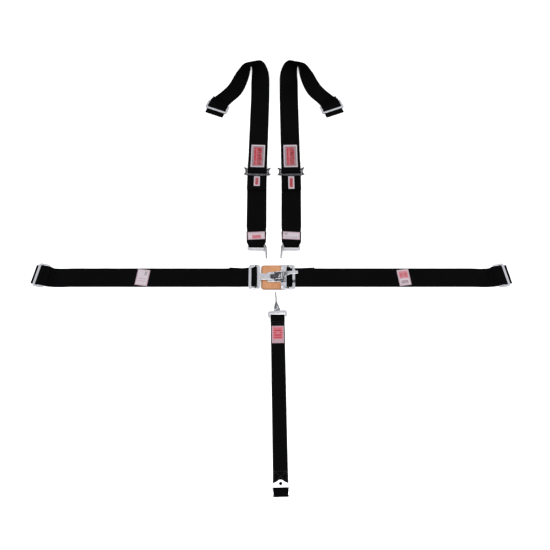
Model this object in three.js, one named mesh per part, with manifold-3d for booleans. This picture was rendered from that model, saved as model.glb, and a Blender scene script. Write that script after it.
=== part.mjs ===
// Five-point racing harness with a latch-and-link buckle, laid out on a flat surface.
// Two lap straps meet at the buckle, two shoulder straps fold back at the top, and one crotch strap
// runs down to a bolt-in anchor plate.
// Millimetres, +Z up, +X to the wearer's left lap end, +Y towards the shoulder straps.
import * as THREE from "three";
import { mergeVertices } from "three/addons/utils/BufferGeometryUtils.js";
import Module from "manifold-3d";

const wasm = await Module();
wasm.setup();

// ---------------------------------------------------------------- driving dimensions
const WIDE = 76.2; // lap and shoulder webbing, 3 inch
const NARROW = 50.8; // crotch webbing, 2 inch
const CLOTH = 1.8; // webbing thickness
const REST = 0.5; // clearance between layers, and between webbing and metal
const LAYER = CLOTH + REST;
const PLATE = 3; // stamped steel thickness
const LABEL = 0.6; // sewn label thickness
const LABEL_GAP = 0.3; // between a label and the webbing that it is sewn on
const SEAM_RADIUS = 1.6; // bend radius of webbing round a plate's edge
const PIN_PLAY = 0.35; // radial clearance round a pin

// Where the straps lie.
const LAP_Y = -11; // lap belt's centre line
const LEFT_LAP_END = -884; // centre of each lap slide's outer bar
const RIGHT_LAP_END = 857;
const LAP_END_TILT = 11.5; // degrees, the end slides lean inwards at the top
const LAP_END_RISE = 11; // an end slide sits this far above the strap's centre line
const ADJUSTER_Y = 444; // shoulder adjuster's bar
const SHOULDER_END_Y = 113; // bottom end of the shoulder webbing
const CROTCH_TOP_Y = -161;
const CROTCH_BOTTOM_Y = -811;
const CROTCH_X = 9.2; // crotch strap's centre line at its top
const CROTCH_LEAN = 0.9; // degrees

// Lap adjuster frames.
const FRAME = { height: WIDE + 22.8, rim: 10, window: 22, rail: 9, corner: 10 };
const BAR_RADIUS = 3.2; // floating bar that grips the webbing
const BAR_TRAVEL = 2.5;
const BAR_NOTCH = 6.5; // how far a bar's end reaches into the frame's rail
const BAR_STEP = 0.5; // a bar's ends are this much thinner than its middle, in radius
const BAR_WRAP = BAR_RADIUS + 0.6 + CLOTH / 2; // webbing centre line round a bar
// A frame's window ends this far on the buckle's side of its bar, and its edge on the strap's side.
const FRAME_INNER = BAR_WRAP + CLOTH / 2 + 2 * REST;
const FRAME_OUTER = FRAME.window + FRAME.rim - FRAME_INNER;
const LAP_TAIL = 100; // free end of the lap webbing, measured from its bar

const LAP_LABEL = { leftX: -492, rightX: 479, turn: 8, length: 45, width: WIDE - 10.2 };

// Buckle, from the leather pad up.
const BASE_Z = 2 * LAYER; // underside of the latch base
const PAD_GAP = 0.6; // between the leather pad and the latch base
const PAD = { left: -51, right: 40, height: FRAME.height + 1, thickness: BASE_Z - PAD_GAP, corner: 10 };
const LINK_Z = BASE_Z + PLATE + REST; // underside of the link plate
const LINK_FRAME_X = -72.3; // floating bar of the link side
const LATCH_FRAME_X = 49.1; // floating bar of the latch side
const TONGUE = { width: 26, tip: -4, waist: 24, window: 13, opening: 16 };
const DOG_PIVOT = { x: 4, z: 16.5 };
const LEVER_PIVOT = { x: 25, z: 18 };
const EAR = { inner: 12.5, thickness: 2.5, dogLobe: 6.5, leverLobe: 8 };
const PIN_RADIUS = 2.5;
const PIN_HEAD = { radius: 4, thickness: 1.5 };
const LEVER_ANGLE = 35.5; // degrees the handle stands up as it lies
// The handle's middle line: distance from its pivot, angle above LEVER_ANGLE in radians and width there.
const LEVER_SPINE = [
  [3, 0.5, 21],
  [16, 0.3, 20],
  [32, 0.16, 16],
  [48, 0.02, 13],
  [58, -0.09, 13],
  [66, -0.15, 11],
];
const LEVER_HUB = { radius: 6.2, half: EAR.inner - 2, thickness: 2.6 };
const SPRING = { wire: 0.5, turns: 3.5, start: 7.2, length: 4.2 };

// Three-bar slides at the free ends of the lap and shoulder straps.
const SLIDE = {
  bar: 7,
  innerSlot: 8.5,
  outerSlot: 10.5,
  outerBar: 9,
  length: WIDE + 17.8,
  window: WIDE + 4.8,
  corner: 7,
};
const LAP_BIGHT = 9; // webbing loop beyond a slide's outer bar
const SHOULDER_BIGHT = 18;
const SHOULDER_SLIDE = { out: 180.8, y: 742, tilt: 21.5 }; // its outer bar, from the strap's centre line

// Shoulder adjusters and links.
const ADJUSTER = {
  lowerRim: 6,
  upperRim: 7,
  window: 16,
  bow: 6,
  inside: WIDE + 7.8,
  outside: WIDE + 16.8,
  horn: WIDE + 29.8,
};
const ADJUSTER_BAR_RADIUS = 3;
const ADJUSTER_BAR_TRAVEL = 2;
const WEBBING_DOWN = 62; // where it is down on the floor, measured from the adjuster's bar
const MAIN_LABEL = { start: 18, length: 112, width: 54 };
const LOW_LABEL = { middle: 50, length: 32, width: WIDE - 10.2, turn: 3 };
const PULL_LABEL = { start: 20, width: 23 };
const PULL_TAIL = 80; // free end of the shoulder webbing, measured from the adjuster's bar
const SHOULDER_LINK = { width: 66, rail: 3, bar: 7, slot: 6, rim: 9, slack: 0, tail: 68 };
const SHOULDER_ARM = { reach: 38.5, length: 54, root: 20, tip: 11, lean: 18, spread: 3 };
const TIP_SLOT = { inset: 9, size: [10, 5.6, 2.6] }; // a link hooks on by it: length, height, corner

// Crotch strap's ends.
const CROTCH_LINK = { width: NARROW + 18.2, rail: 6, bar: 7, slot: 9, rim: 11, slack: 2, tail: 33 };
const CROTCH_TONGUE = { twist: 43, reach: 76, base: 22, edge: 18, tip: 11, turn: 4 };
const ANCHOR = {
  bar: 14,
  slot: 14,
  slotWidth: NARROW + 9.2,
  width: NARROW + 30.2,
  holeUp: 43,
  apexUp: 56,
  hole: 5.75,
  tail: 70,
};
const RIM_TAIL = 70; // sewn-down end of the loop round an adjuster's rim

const CROTCH_LABEL = { middle: -76, length: 66, width: NARROW - 6.8 };

// ---------------------------------------------------------------- materials
const finish = (color, roughness, metalness) =>
  new THREE.MeshStandardMaterial({ color, roughness, metalness });
const BLACK_WEBBING = finish(0x0e0e10, 0.85, 0);
const CHROME = finish(0xd9dcdf, 0.12, 1);
const DARK_STEEL = finish(0x4c4f53, 0.35, 1);
const TAN_LEATHER = finish(0xbf8458, 0.7, 0);
const WHITE_LABEL = finish(0xcfc7cb, 0.7, 0);
const RED_LABEL = finish(0xc23a45, 0.7, 0);

// ---------------------------------------------------------------- solids
const degrees = THREE.MathUtils.degToRad;
const layerZ = (n) => CLOTH / 2 + n * LAYER;

/** A closed geometry as a solid that can be cut and joined. */
function solid(geometry) {
  const bare = geometry.clone();
  bare.deleteAttribute("normal");
  bare.deleteAttribute("uv");
  const merged = mergeVertices(bare, 1e-4);
  return new wasm.Manifold(
    new wasm.Mesh({
      numProp: 3,
      vertProperties: merged.attributes.position.array,
      triVerts: new Uint32Array(merged.index.array),
    }),
  );
}

/** A solid as a geometry. */
function geometryOf(body) {
  const mesh = body.getMesh();
  return new THREE.BufferGeometry()
    .setAttribute("position", new THREE.BufferAttribute(mesh.vertProperties, 3))
    .setIndex(new THREE.BufferAttribute(mesh.triVerts, 1))
    .toNonIndexed();
}

function box(x0, x1, y0, y1, z0, z1) {
  const geometry = new THREE.BoxGeometry(x1 - x0, y1 - y0, z1 - z0);
  geometry.translate((x0 + x1) / 2, (y0 + y1) / 2, (z0 + z1) / 2);
  return solid(geometry);
}

/** A round bar along Y, from y0 to y1. */
function barY(x, z, radius, y0, y1, sides = 20) {
  const geometry = new THREE.CylinderGeometry(radius, radius, y1 - y0, sides);
  geometry.translate(x, (y0 + y1) / 2, z);
  return solid(geometry);
}

/** A round bar along Z, from z0 to z1. */
function barZ(x, y, radius, z0, z1, sides = 20) {
  const geometry = new THREE.CylinderGeometry(radius, radius, z1 - z0, sides);
  geometry.rotateX(Math.PI / 2);
  geometry.translate(x, y, (z0 + z1) / 2);
  return solid(geometry);
}

/** A rectangle with round corners, centred on (cx, cy). */
function roundedRectangle(cx, cy, width, height, radius, outline = new THREE.Shape()) {
  const [w, h] = [width / 2, height / 2];
  const arc = (x, y, from) =>
    outline.absarc(cx + x, cy + y, radius, degrees(from), degrees(from + 90), false);
  outline.moveTo(cx + w, cy - h + radius);
  arc(w - radius, h - radius, 0);
  arc(-w + radius, h - radius, 90);
  arc(-w + radius, -h + radius, 180);
  arc(w - radius, -h + radius, 270);
  return outline;
}

/** A flat plate of an outline in X and Y. */
function plate(outline, z, thickness, curveSegments = 5) {
  const options = { depth: thickness, bevelEnabled: false, curveSegments };
  const geometry = new THREE.ExtrudeGeometry(outline, options);
  geometry.translate(0, 0, z);
  return solid(geometry);
}

/** A profile in X and Z, given thickness along Y from y0 to y1. */
function wall(outline, y0, y1, curveSegments = 5) {
  const options = { depth: y1 - y0, bevelEnabled: false, curveSegments };
  const geometry = new THREE.ExtrudeGeometry(outline, options);
  geometry.rotateX(Math.PI / 2);
  geometry.translate(0, y1, 0);
  return solid(geometry);
}

// ---------------------------------------------------------------- webbing
const UP = new THREE.Vector3(0, 0, 1);

/** A spot on the floor with a heading in degrees: along is its direction, across lies to its right. */
class Place {
  constructor(x, y, heading) {
    this.origin = new THREE.Vector3(x, y, 0);
    this.heading = heading;
    this.along = new THREE.Vector3(Math.cos(degrees(heading)), Math.sin(degrees(heading)), 0);
    this.across = new THREE.Vector3(this.along.y, -this.along.x, 0);
  }
  /** The same heading, u further ahead. */
  moved(u) {
    return new Place(this.origin.x + u * this.along.x, this.origin.y + u * this.along.y, this.heading);
  }
  /** The point u ahead, v to the right and z up. */
  point(u, v, z) {
    return this.origin.clone().addScaledVector(this.along, u).addScaledVector(this.across, v).setZ(z);
  }
}

/** A polyline of [u, z] points whose corners are rounded, as a finer list of points. */
function rounded(points, radius = SEAM_RADIUS) {
  const line = points.map(([u, z]) => new THREE.Vector2(u, z));
  const out = [line[0]];
  for (let i = 1; i < line.length - 1; i++) {
    const back = line[i - 1].clone().sub(line[i]);
    const ahead = line[i + 1].clone().sub(line[i]);
    const turn = Math.PI - back.angleTo(ahead);
    if (turn < 0.01) {
      out.push(line[i]);
      continue;
    }
    const cut = Math.min(radius * Math.tan(turn / 2), back.length() * 0.49, ahead.length() * 0.49);
    const start = line[i].clone().addScaledVector(back.normalize(), cut);
    const end = line[i].clone().addScaledVector(ahead.normalize(), cut);
    const steps = Math.max(1, Math.round(turn / degrees(30)));
    const curve = new THREE.QuadraticBezierCurve(start, line[i], end);
    for (let k = 0; k <= steps; k++) out.push(curve.getPoint(k / steps));
  }
  out.push(line[line.length - 1]);
  return out.map((p) => [p.x, p.y]);
}

/**
 * Stations of webbing that follows [u, z] points at a place. side -1 measures u backwards.
 * skew turns the part beyond skewFrom sideways, by that many degrees.
 */
function follow(place, points, { side = 1, skew = 0, skewFrom = 0 } = {}) {
  return points.map(([u, z], i) => {
    const turned = skew && i >= skewFrom;
    const drift = turned ? Math.tan(degrees(skew)) * Math.abs(u - points[skewFrom][0]) : 0;
    const angle = turned ? degrees(skew * side) : 0;
    return { p: place.point(side * u, drift, z), w: place.across.clone().applyAxisAngle(UP, angle) };
  });
}

/** Stations along a smooth curve on the floor, from one place to another. */
function sweep(from, to, steps = 8) {
  const reach = from.origin.distanceTo(to.origin) / 3;
  const curve = new THREE.CubicBezierCurve3(
    from.point(0, 0, layerZ(0)),
    from.point(reach, 0, layerZ(0)),
    to.point(-reach, 0, layerZ(0)),
    to.point(0, 0, layerZ(0)),
  );
  return Array.from({ length: steps - 1 }, (_, i) => {
    const t = (i + 1) / steps;
    const along = curve.getTangent(t);
    return { p: curve.getPoint(t), w: new THREE.Vector3(along.y, -along.x, 0).normalize() };
  });
}

/** Stations between two edges, each a smooth curve through its points, kept clear of the floor. */
function between(edgeA, edgeB, steps = 3) {
  const curve = (points) => new THREE.CatmullRomCurve3(points, false, "catmullrom", 0.5);
  const [a, b] = [curve(edgeA), curve(edgeB)];
  const count = (edgeA.length - 1) * steps;
  return Array.from({ length: count + 1 }, (_, i) => {
    const [near, far] = [a.getPoint(i / count), b.getPoint(i / count)];
    const p = near.clone().add(far).multiplyScalar(0.5);
    const w = near.sub(far).normalize();
    const lowest = (Math.abs(w.z) * WIDE + CLOTH) / 2;
    return { p: p.setZ(Math.max(p.z, lowest)), w };
  });
}

/** A strip through stations {p, w, width}: a rectangle that is carried along and turns with w. */
function strip(stations, width, thickness) {
  const positions = [];
  const corners = stations.map((s, i) => {
    const before = stations[Math.max(i - 1, 0)].p;
    const after = stations[Math.min(i + 1, stations.length - 1)].p;
    const back = s.p.clone().sub(before).normalize();
    const ahead = after.clone().sub(s.p).normalize();
    const along = back.clone().add(ahead).normalize();
    const inner = i > 0 && i < stations.length - 1 ? Math.sqrt((1 + back.dot(ahead)) / 2) : 1;
    const up = along.clone().cross(s.w).normalize();
    const half = up.multiplyScalar(thickness / 2 / Math.max(inner, 0.7));
    const side = s.w.clone().multiplyScalar((s.width ?? width) / 2);
    const at = (a, b) => s.p.clone().addScaledVector(side, a).addScaledVector(half, b);
    return [at(-1, -1), at(1, -1), at(1, 1), at(-1, 1)];
  });
  const quad = (a, b, c, d) => {
    for (const v of [a, b, c, a, c, d]) positions.push(v.x, v.y, v.z);
  };
  for (let i = 0; i < corners.length - 1; i++)
    for (let k = 0; k < 4; k++)
      quad(corners[i][k], corners[i][(k + 1) % 4], corners[i + 1][(k + 1) % 4], corners[i + 1][k]);
  const first = corners[0];
  const last = corners[corners.length - 1];
  quad(first[0], first[3], first[2], first[1]);
  quad(last[0], last[1], last[2], last[3]);
  const geometry = new THREE.BufferGeometry();
  geometry.setAttribute("position", new THREE.Float32BufferAttribute(positions, 3));
  return geometry;
}

// ---------------------------------------------------------------- assembly
const harness = new THREE.Group();

function add(name, shape, material) {
  const geometry = shape.isBufferGeometry ? shape : geometryOf(shape);
  const mesh = new THREE.Mesh(geometry, material);
  mesh.name = name;
  harness.add(mesh);
  return mesh;
}

/** A piece made round the origin, heading along +X, put down at a place. */
function putDown(name, shape, material, place) {
  const mesh = add(name, shape, material);
  mesh.position.copy(place.origin);
  mesh.rotation.z = degrees(place.heading);
  return mesh;
}

/** A label sewn on flat webbing, its middle u ahead of a place and its underside at z. */
function label(name, place, u, length, width, z, material = WHITE_LABEL) {
  const body = box(u - length / 2, u + length / 2, -width / 2, width / 2, z, z + LABEL);
  return putDown(name, body, material, place);
}

const onCloth = CLOTH + LABEL_GAP; // underside of a label on one layer of webbing

// ---------------------------------------------------------------- three-bar slides
const slideEnd = SLIDE.bar * 2 + SLIDE.innerSlot + SLIDE.outerSlot + SLIDE.outerBar;
const slideTop = BASE_Z + PLATE;

/** Three-bar slide whose inner edge is at the origin and whose outer bar lies at -X. */
function threeBarSlide() {
  const outline = roundedRectangle(-slideEnd / 2, 0, slideEnd, SLIDE.length, SLIDE.corner);
  const innerSlot = SLIDE.bar + SLIDE.innerSlot / 2;
  const outerSlot = 2 * SLIDE.bar + SLIDE.innerSlot + SLIDE.outerSlot / 2;
  outline.holes.push(
    roundedRectangle(-innerSlot, 0, SLIDE.innerSlot, SLIDE.window, 2, new THREE.Path()),
    roundedRectangle(-outerSlot, 0, SLIDE.outerSlot, SLIDE.window, 2, new THREE.Path()),
  );
  return plate(outline, BASE_Z, PLATE);
}

/** Webbing through a three-bar slide: up, over the middle bar, out as a bight and back over both bars. */
function slideWrap(bight) {
  const firstOver = slideTop + REST + CLOTH / 2;
  const secondOver = firstOver + LAYER;
  const up = SLIDE.bar + SLIDE.innerSlot / 2;
  const down = 2 * SLIDE.bar + SLIDE.innerSlot + REST + CLOTH / 2 + 1;
  const upAgain = slideEnd - SLIDE.outerBar - REST - CLOTH / 2 - 1.5;
  const turn = slideEnd + bight;
  return rounded([
    [-6, layerZ(0)],
    [up, layerZ(0)],
    [up, firstOver],
    [down, firstOver],
    [down, layerZ(0)],
    [turn, layerZ(0)],
    [turn, layerZ(1)],
    [upAgain, layerZ(1)],
    [upAgain, secondOver],
    [-5, secondOver],
    [-15, layerZ(1)],
    [-24, layerZ(1)],
  ]);
}

// ---------------------------------------------------------------- lap straps
/** Webbing round the floating bar of a frame whose underside is at frameZ, ending in a free tail. */
function frameWrap(frameZ) {
  const upper = frameZ - REST - CLOTH / 2;
  const lower = upper - LAYER;
  const top = frameZ + PLATE / 2 + BAR_WRAP;
  const edge = FRAME_OUTER;
  return rounded([
    [-70, layerZ(0)],
    [-edge - 25, layerZ(0)],
    [-edge - 3, lower],
    [BAR_WRAP, lower],
    [BAR_WRAP, top],
    [-BAR_WRAP - BAR_TRAVEL, top],
    [-BAR_WRAP - BAR_TRAVEL, upper],
    [-edge - 3, upper],
    [-edge - 25, layerZ(1)],
    [-LAP_TAIL, layerZ(1)],
  ]);
}

/** Adjuster frame round a floating bar at the origin, with notches for the bar's ends. */
function adjusterFrame(z) {
  const depth = FRAME.window + 2 * FRAME.rim;
  const middle = FRAME_INNER - FRAME.window / 2;
  const outline = roundedRectangle(middle, 0, depth, FRAME.height, FRAME.corner);
  const opening = FRAME.height - 2 * FRAME.rail;
  outline.holes.push(roundedRectangle(middle, 0, FRAME.window, opening, 4, new THREE.Path()));
  const reach = opening / 2 + BAR_NOTCH;
  const notch = box(-BAR_TRAVEL - BAR_RADIUS, BAR_RADIUS, -reach, reach, z - 1, z + PLATE + 1);
  return plate(outline, z, PLATE).subtract(notch);
}

/** Floating bar: a gripping middle and thinner ends that ride in the frame's notches. */
function floatingBar(z) {
  const opening = FRAME.height / 2 - FRAME.rail;
  const middle = barY(0, z + PLATE / 2, BAR_RADIUS, -opening + 1, opening - 1);
  const reach = opening + BAR_NOTCH - REST;
  const ends = barY(0, z + PLATE / 2, BAR_RADIUS - BAR_STEP, -reach, reach);
  return middle.add(ends);
}

/** One lap strap, from its free tail at the buckle to its end slide. */
function lapWebbing(buckle, end, frameZ, skew) {
  const wrap = frameWrap(frameZ);
  const tailFrom = wrap.length - 2;
  const bend = end.moved(6);
  const straight = buckle.moved(-180);
  const settle = new Place(end.origin.x + buckle.along.x * 100, LAP_Y, buckle.heading);
  const outer = follow(end, slideWrap(LAP_BIGHT), { side: -1 }).reverse();
  return strip(
    [
      ...outer,
      ...sweep(bend, settle),
      ...follow(settle, [[0, layerZ(0)]]),
      ...follow(straight, [[0, layerZ(0)]]),
      ...follow(buckle, wrap, { skew, skewFrom: tailFrom }),
    ],
    WIDE,
    CLOTH,
  );
}

const outerBarMiddle = slideEnd - SLIDE.outerBar / 2;

/** The place of a lap end slide's inner edge, from its outer bar's centre. */
function lapEnd(barX, heading) {
  return new Place(barX, LAP_Y + LAP_END_RISE, heading).moved(outerBarMiddle);
}

const linkSide = new Place(LINK_FRAME_X, LAP_Y, 0);
const latchSide = new Place(LATCH_FRAME_X, LAP_Y, 180);
const leftEnd = lapEnd(LEFT_LAP_END, -LAP_END_TILT);
const rightEnd = lapEnd(RIGHT_LAP_END, 180 + LAP_END_TILT);

add("left_lap_webbing", lapWebbing(linkSide, leftEnd, LINK_Z, -3.5), BLACK_WEBBING);
add("right_lap_webbing", lapWebbing(latchSide, rightEnd, BASE_Z, 3.5), BLACK_WEBBING);
putDown("left_lap_end_slide", threeBarSlide(), CHROME, leftEnd);
putDown("right_lap_end_slide", threeBarSlide(), CHROME, rightEnd);
putDown("left_lap_bar", floatingBar(LINK_Z), DARK_STEEL, linkSide);
putDown("right_lap_bar", floatingBar(BASE_Z), DARK_STEEL, latchSide);

const leftLabel = new Place(LAP_LABEL.leftX, LAP_Y, -LAP_LABEL.turn);
const rightLabel = new Place(LAP_LABEL.rightX, LAP_Y, LAP_LABEL.turn);
label("left_lap_label", leftLabel, 0, LAP_LABEL.length, LAP_LABEL.width, onCloth);
label("right_lap_label", rightLabel, 0, LAP_LABEL.length, LAP_LABEL.width, onCloth);

// ---------------------------------------------------------------- buckle: link side
/** Link plate: an adjuster frame with a tongue whose window the latch dog drops into. */
function linkPlate() {
  const frame = adjusterFrame(LINK_Z).translate([LINK_FRAME_X, 0, 0]);
  const neck = LINK_FRAME_X + FRAME_INNER + FRAME.rim - 1;
  const [wide, narrow] = [TONGUE.width / 2, TONGUE.waist / 2];
  const outline = new THREE.Shape();
  outline.moveTo(neck, -wide - 6);
  outline.quadraticCurveTo(neck + 3, -wide, neck + 9, -wide);
  outline.lineTo(TONGUE.tip - 20, -narrow);
  outline.lineTo(TONGUE.tip - 4, -narrow);
  outline.absarc(TONGUE.tip - 4, -narrow + 4, 4, -Math.PI / 2, 0, false);
  outline.absarc(TONGUE.tip - 4, narrow - 4, 4, 0, Math.PI / 2, false);
  outline.lineTo(TONGUE.tip - 20, narrow);
  outline.lineTo(neck + 9, wide);
  outline.quadraticCurveTo(neck + 3, wide, neck, wide + 6);
  const middle = TONGUE.tip - 4 - TONGUE.window / 2;
  outline.holes.push(roundedRectangle(middle, 0, TONGUE.window, TONGUE.opening, 2, new THREE.Path()));
  return frame.add(plate(outline, LINK_Z, PLATE));
}

const buckle = new Place(0, LAP_Y, 0);
putDown("link_plate", linkPlate(), CHROME, buckle);

// ---------------------------------------------------------------- buckle: latch side
const padRivet = { x: 26, y: FRAME.height / 2 - 11, radius: 2, head: 4.2 };

/** Latch base: an adjuster frame, a shoulder plate and a narrow nose with two upright ears. */
function latchBase() {
  const frame = adjusterFrame(BASE_Z).rotate([0, 0, 180]).translate([LATCH_FRAME_X, 0, 0]);
  const frameEdge = LATCH_FRAME_X - FRAME_INNER - FRAME.rim;
  const shoulder = plate(roundedRectangle(frameEdge - 2, 0, 19, FRAME.height, 3), BASE_Z, PLATE);
  const nose = plate(roundedRectangle(0, 0, 58, 2 * (EAR.inner + EAR.thickness + 5), 6), BASE_Z, PLATE);
  const profile = new THREE.Shape();
  const top = Math.atan2(EAR.leverLobe - EAR.dogLobe, LEVER_PIVOT.x - DOG_PIVOT.x);
  profile.moveTo(DOG_PIVOT.x - EAR.dogLobe, BASE_Z + 1);
  profile.lineTo(LEVER_PIVOT.x + EAR.leverLobe, BASE_Z + 1);
  profile.lineTo(LEVER_PIVOT.x + EAR.leverLobe, LEVER_PIVOT.z);
  profile.absarc(LEVER_PIVOT.x, LEVER_PIVOT.z, EAR.leverLobe, 0, Math.PI / 2 + top, false);
  profile.absarc(DOG_PIVOT.x, DOG_PIVOT.z, EAR.dogLobe, Math.PI / 2 + top, Math.PI, false);
  let base = frame.add(shoulder).add(nose);
  for (const side of [-1, 1]) {
    const [inner, outer] = [side * EAR.inner, side * (EAR.inner + EAR.thickness)];
    base = base.add(wall(profile, Math.min(inner, outer), Math.max(inner, outer)));
    const bore = padRivet.radius + PIN_PLAY;
    base = base.subtract(barZ(padRivet.x, side * padRivet.y, bore, BASE_Z - 1, BASE_Z + PLATE + 1));
  }
  const outside = EAR.inner + EAR.thickness + 1;
  for (const pivot of [DOG_PIVOT, LEVER_PIVOT])
    base = base.subtract(barY(pivot.x, pivot.z, PIN_RADIUS + PIN_PLAY, -outside, outside));
  return base;
}

/** Pivot pin with a flat head outside each ear. */
function pivotPin(pivot) {
  const face = EAR.inner + EAR.thickness + REST;
  const end = face + PIN_HEAD.thickness;
  const shank = barY(pivot.x, pivot.z, PIN_RADIUS, -end, end);
  const head = (y) => barY(pivot.x, pivot.z, PIN_HEAD.radius, y, y + PIN_HEAD.thickness);
  return shank.add(head(-end)).add(head(face));
}

/** Dog: a hub on its pin, a nose that drops into the tongue's window and a short tail for the cam. */
function latchDog() {
  const { x, z } = DOG_PIVOT;
  const nose = TONGUE.tip - 4 - TONGUE.window / 2;
  const outline = new THREE.Shape();
  outline.moveTo(x + 8.5, z + 1.5);
  outline.lineTo(x + 2, z + 5);
  outline.lineTo(x - 6, z + 4.5);
  outline.quadraticCurveTo(nose - 1, z + 4, nose - 3, z - 2);
  outline.lineTo(nose - 2.5, LINK_Z + PLATE + 0.5);
  outline.lineTo(nose + 2, LINK_Z + PLATE + 0.5);
  outline.lineTo(nose + 4, z - 3);
  outline.lineTo(x - 4, z - 4);
  outline.lineTo(x + 3, z - 4);
  outline.lineTo(x + 8.5, z - 1.5);
  return wall(outline, -6, 6).subtract(barY(x, z, PIN_RADIUS + PIN_PLAY, -7, 7));
}

/** Lever: a hub on its pin, a short cam towards the dog and a bowed handle that narrows to its tip. */
function latchLever() {
  const { x, z } = LEVER_PIVOT;
  const hub = barY(x, z, LEVER_HUB.radius, -LEVER_HUB.half, LEVER_HUB.half, 24);
  const cam = box(x - 9.6, x, -5, 5, z - 2, z + 2);
  const rise = degrees(LEVER_ANGLE);
  const spine = LEVER_SPINE.map(([distance, bend, width]) => {
    const angle = rise + bend;
    return new THREE.Vector3(x + distance * Math.cos(angle), width, z + distance * Math.sin(angle));
  });
  const curve = new THREE.CatmullRomCurve3(spine, false, "catmullrom", 0.5);
  const stations = Array.from({ length: 16 }, (_, i) => {
    const point = curve.getPoint(i / 15);
    return { p: new THREE.Vector3(point.x, 0, point.z), w: new THREE.Vector3(0, 1, 0), width: point.y };
  });
  return hub
    .add(cam)
    .add(solid(strip(stations, 0, LEVER_HUB.thickness)))
    .subtract(barY(x, z, PIN_RADIUS + PIN_PLAY, -12, 12));
}

/** Torsion spring beside the dog: a helix of wire round the dog's pin. */
function dogSpring() {
  class Helix extends THREE.Curve {
    getPoint(t, target = new THREE.Vector3()) {
      const angle = t * 2 * Math.PI * SPRING.turns;
      const reach = PIN_RADIUS + SPRING.wire + 0.8;
      const y = SPRING.start + SPRING.length * t;
      return target.set(DOG_PIVOT.x + reach * Math.cos(angle), y, DOG_PIVOT.z + reach * Math.sin(angle));
    }
  }
  const wire = new THREE.Shape().absarc(0, 0, SPRING.wire, 0, 2 * Math.PI, false);
  return new THREE.ExtrudeGeometry(wire, { steps: 42, extrudePath: new Helix(), curveSegments: 6 });
}

/** Rivet that holds the pad under the latch base. */
function rivet(side) {
  const y = side * padRivet.y;
  const head = barZ(padRivet.x, y, padRivet.head, BASE_Z + PLATE + REST, BASE_Z + PLATE + REST + 1.4);
  return head.add(barZ(padRivet.x, y, padRivet.radius, 1, BASE_Z + PLATE + 1));
}

function leatherPad() {
  const middle = (PAD.left + PAD.right) / 2;
  const outline = roundedRectangle(middle, 0, PAD.right - PAD.left, PAD.height, PAD.corner);
  let pad = plate(outline, 0, PAD.thickness);
  for (const side of [-1, 1])
    pad = pad.subtract(
      barZ(padRivet.x, side * padRivet.y, padRivet.radius + PIN_PLAY, -1, PAD.thickness + 1),
    );
  return pad;
}

putDown("latch_base", latchBase(), CHROME, buckle);
putDown("dog_pivot_pin", pivotPin(DOG_PIVOT), DARK_STEEL, buckle);
putDown("lever_pivot_pin", pivotPin(LEVER_PIVOT), DARK_STEEL, buckle);
putDown("latch_dog", latchDog(), DARK_STEEL, buckle);
putDown("latch_lever", latchLever(), CHROME, buckle);
putDown("dog_spring", dogSpring(), DARK_STEEL, buckle);
putDown("upper_pad_rivet", rivet(1), CHROME, buckle);
putDown("lower_pad_rivet", rivet(-1), CHROME, buckle);
putDown("leather_pad", leatherPad(), TAN_LEATHER, buckle);

// ---------------------------------------------------------------- shoulder straps
const adjusterZ = 3 * LAYER; // underside of an adjuster, above three layers of webbing
const overRim = adjusterZ + PLATE + REST + CLOTH / 2;
const windowHalf = ADJUSTER.window / 2;
const webbingOver = windowHalf + ADJUSTER.upperRim + 8; // the upper webbing starts down from here

/** Adjuster frame: two rims joined by side rails, with a pair of curled horns on each side. */
function shoulderAdjuster() {
  const bottom = -windowHalf - ADJUSTER.lowerRim;
  const top = windowHalf + ADJUSTER.upperRim;
  const [inside, outside, horn] = [ADJUSTER.inside / 2, ADJUSTER.outside / 2, ADJUSTER.horn / 2];
  // Heading is along +X here, so a strap's across direction is Y.
  const half = (side) => [
    [bottom - 1, side * (outside - 6)],
    [bottom + 1, side * horn],
    [bottom + 5, side * horn],
    [bottom + 7, side * (outside + 1)],
    [top - 7, side * outside],
    [top - 3, side * (outside + 3)],
    [top + 3, side * horn],
    [top + 6.5, side * horn],
    [top + 3.5, side * (outside - 1)],
    [top, side * (outside - 7)],
  ];
  const outline = new THREE.Shape();
  const right = half(1);
  const left = half(-1).reverse();
  outline.moveTo(...left[left.length - 1]);
  outline.quadraticCurveTo(bottom - ADJUSTER.bow, 0, ...right[0]);
  right.slice(1).forEach((p) => outline.lineTo(...p));
  left.forEach((p) => outline.lineTo(...p));
  outline.holes.push(roundedRectangle(0, 0, ADJUSTER.window, 2 * inside, 3, new THREE.Path()));
  const reach = inside + 4;
  const z = adjusterZ;
  const far = ADJUSTER_BAR_RADIUS + ADJUSTER_BAR_TRAVEL;
  const notch = box(-ADJUSTER_BAR_RADIUS, far, -reach, reach, z - 1, z + PLATE + 1);
  return plate(outline, z, PLATE, 8).subtract(notch);
}

function adjusterBar() {
  const z = adjusterZ + PLATE / 2;
  const inside = ADJUSTER.inside / 2;
  const middle = barY(0, z, ADJUSTER_BAR_RADIUS, -inside + 1, inside - 1, 16);
  return middle.add(barY(0, z, ADJUSTER_BAR_RADIUS - BAR_STEP, -inside - 4 + REST, inside + 4 - REST, 16));
}

/** Upper webbing at the adjuster: a pull tail, up through the window, over the bar and the upper rim. */
function adjusterWrap() {
  const up = -ADJUSTER_BAR_RADIUS - 1.5 - CLOTH / 2;
  const over = overRim + LAYER;
  return rounded([
    [-PULL_TAIL, layerZ(2)],
    [up, layerZ(2)],
    [up, over],
    [webbingOver, over],
    [WEBBING_DOWN, layerZ(0)],
  ]);
}

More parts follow.
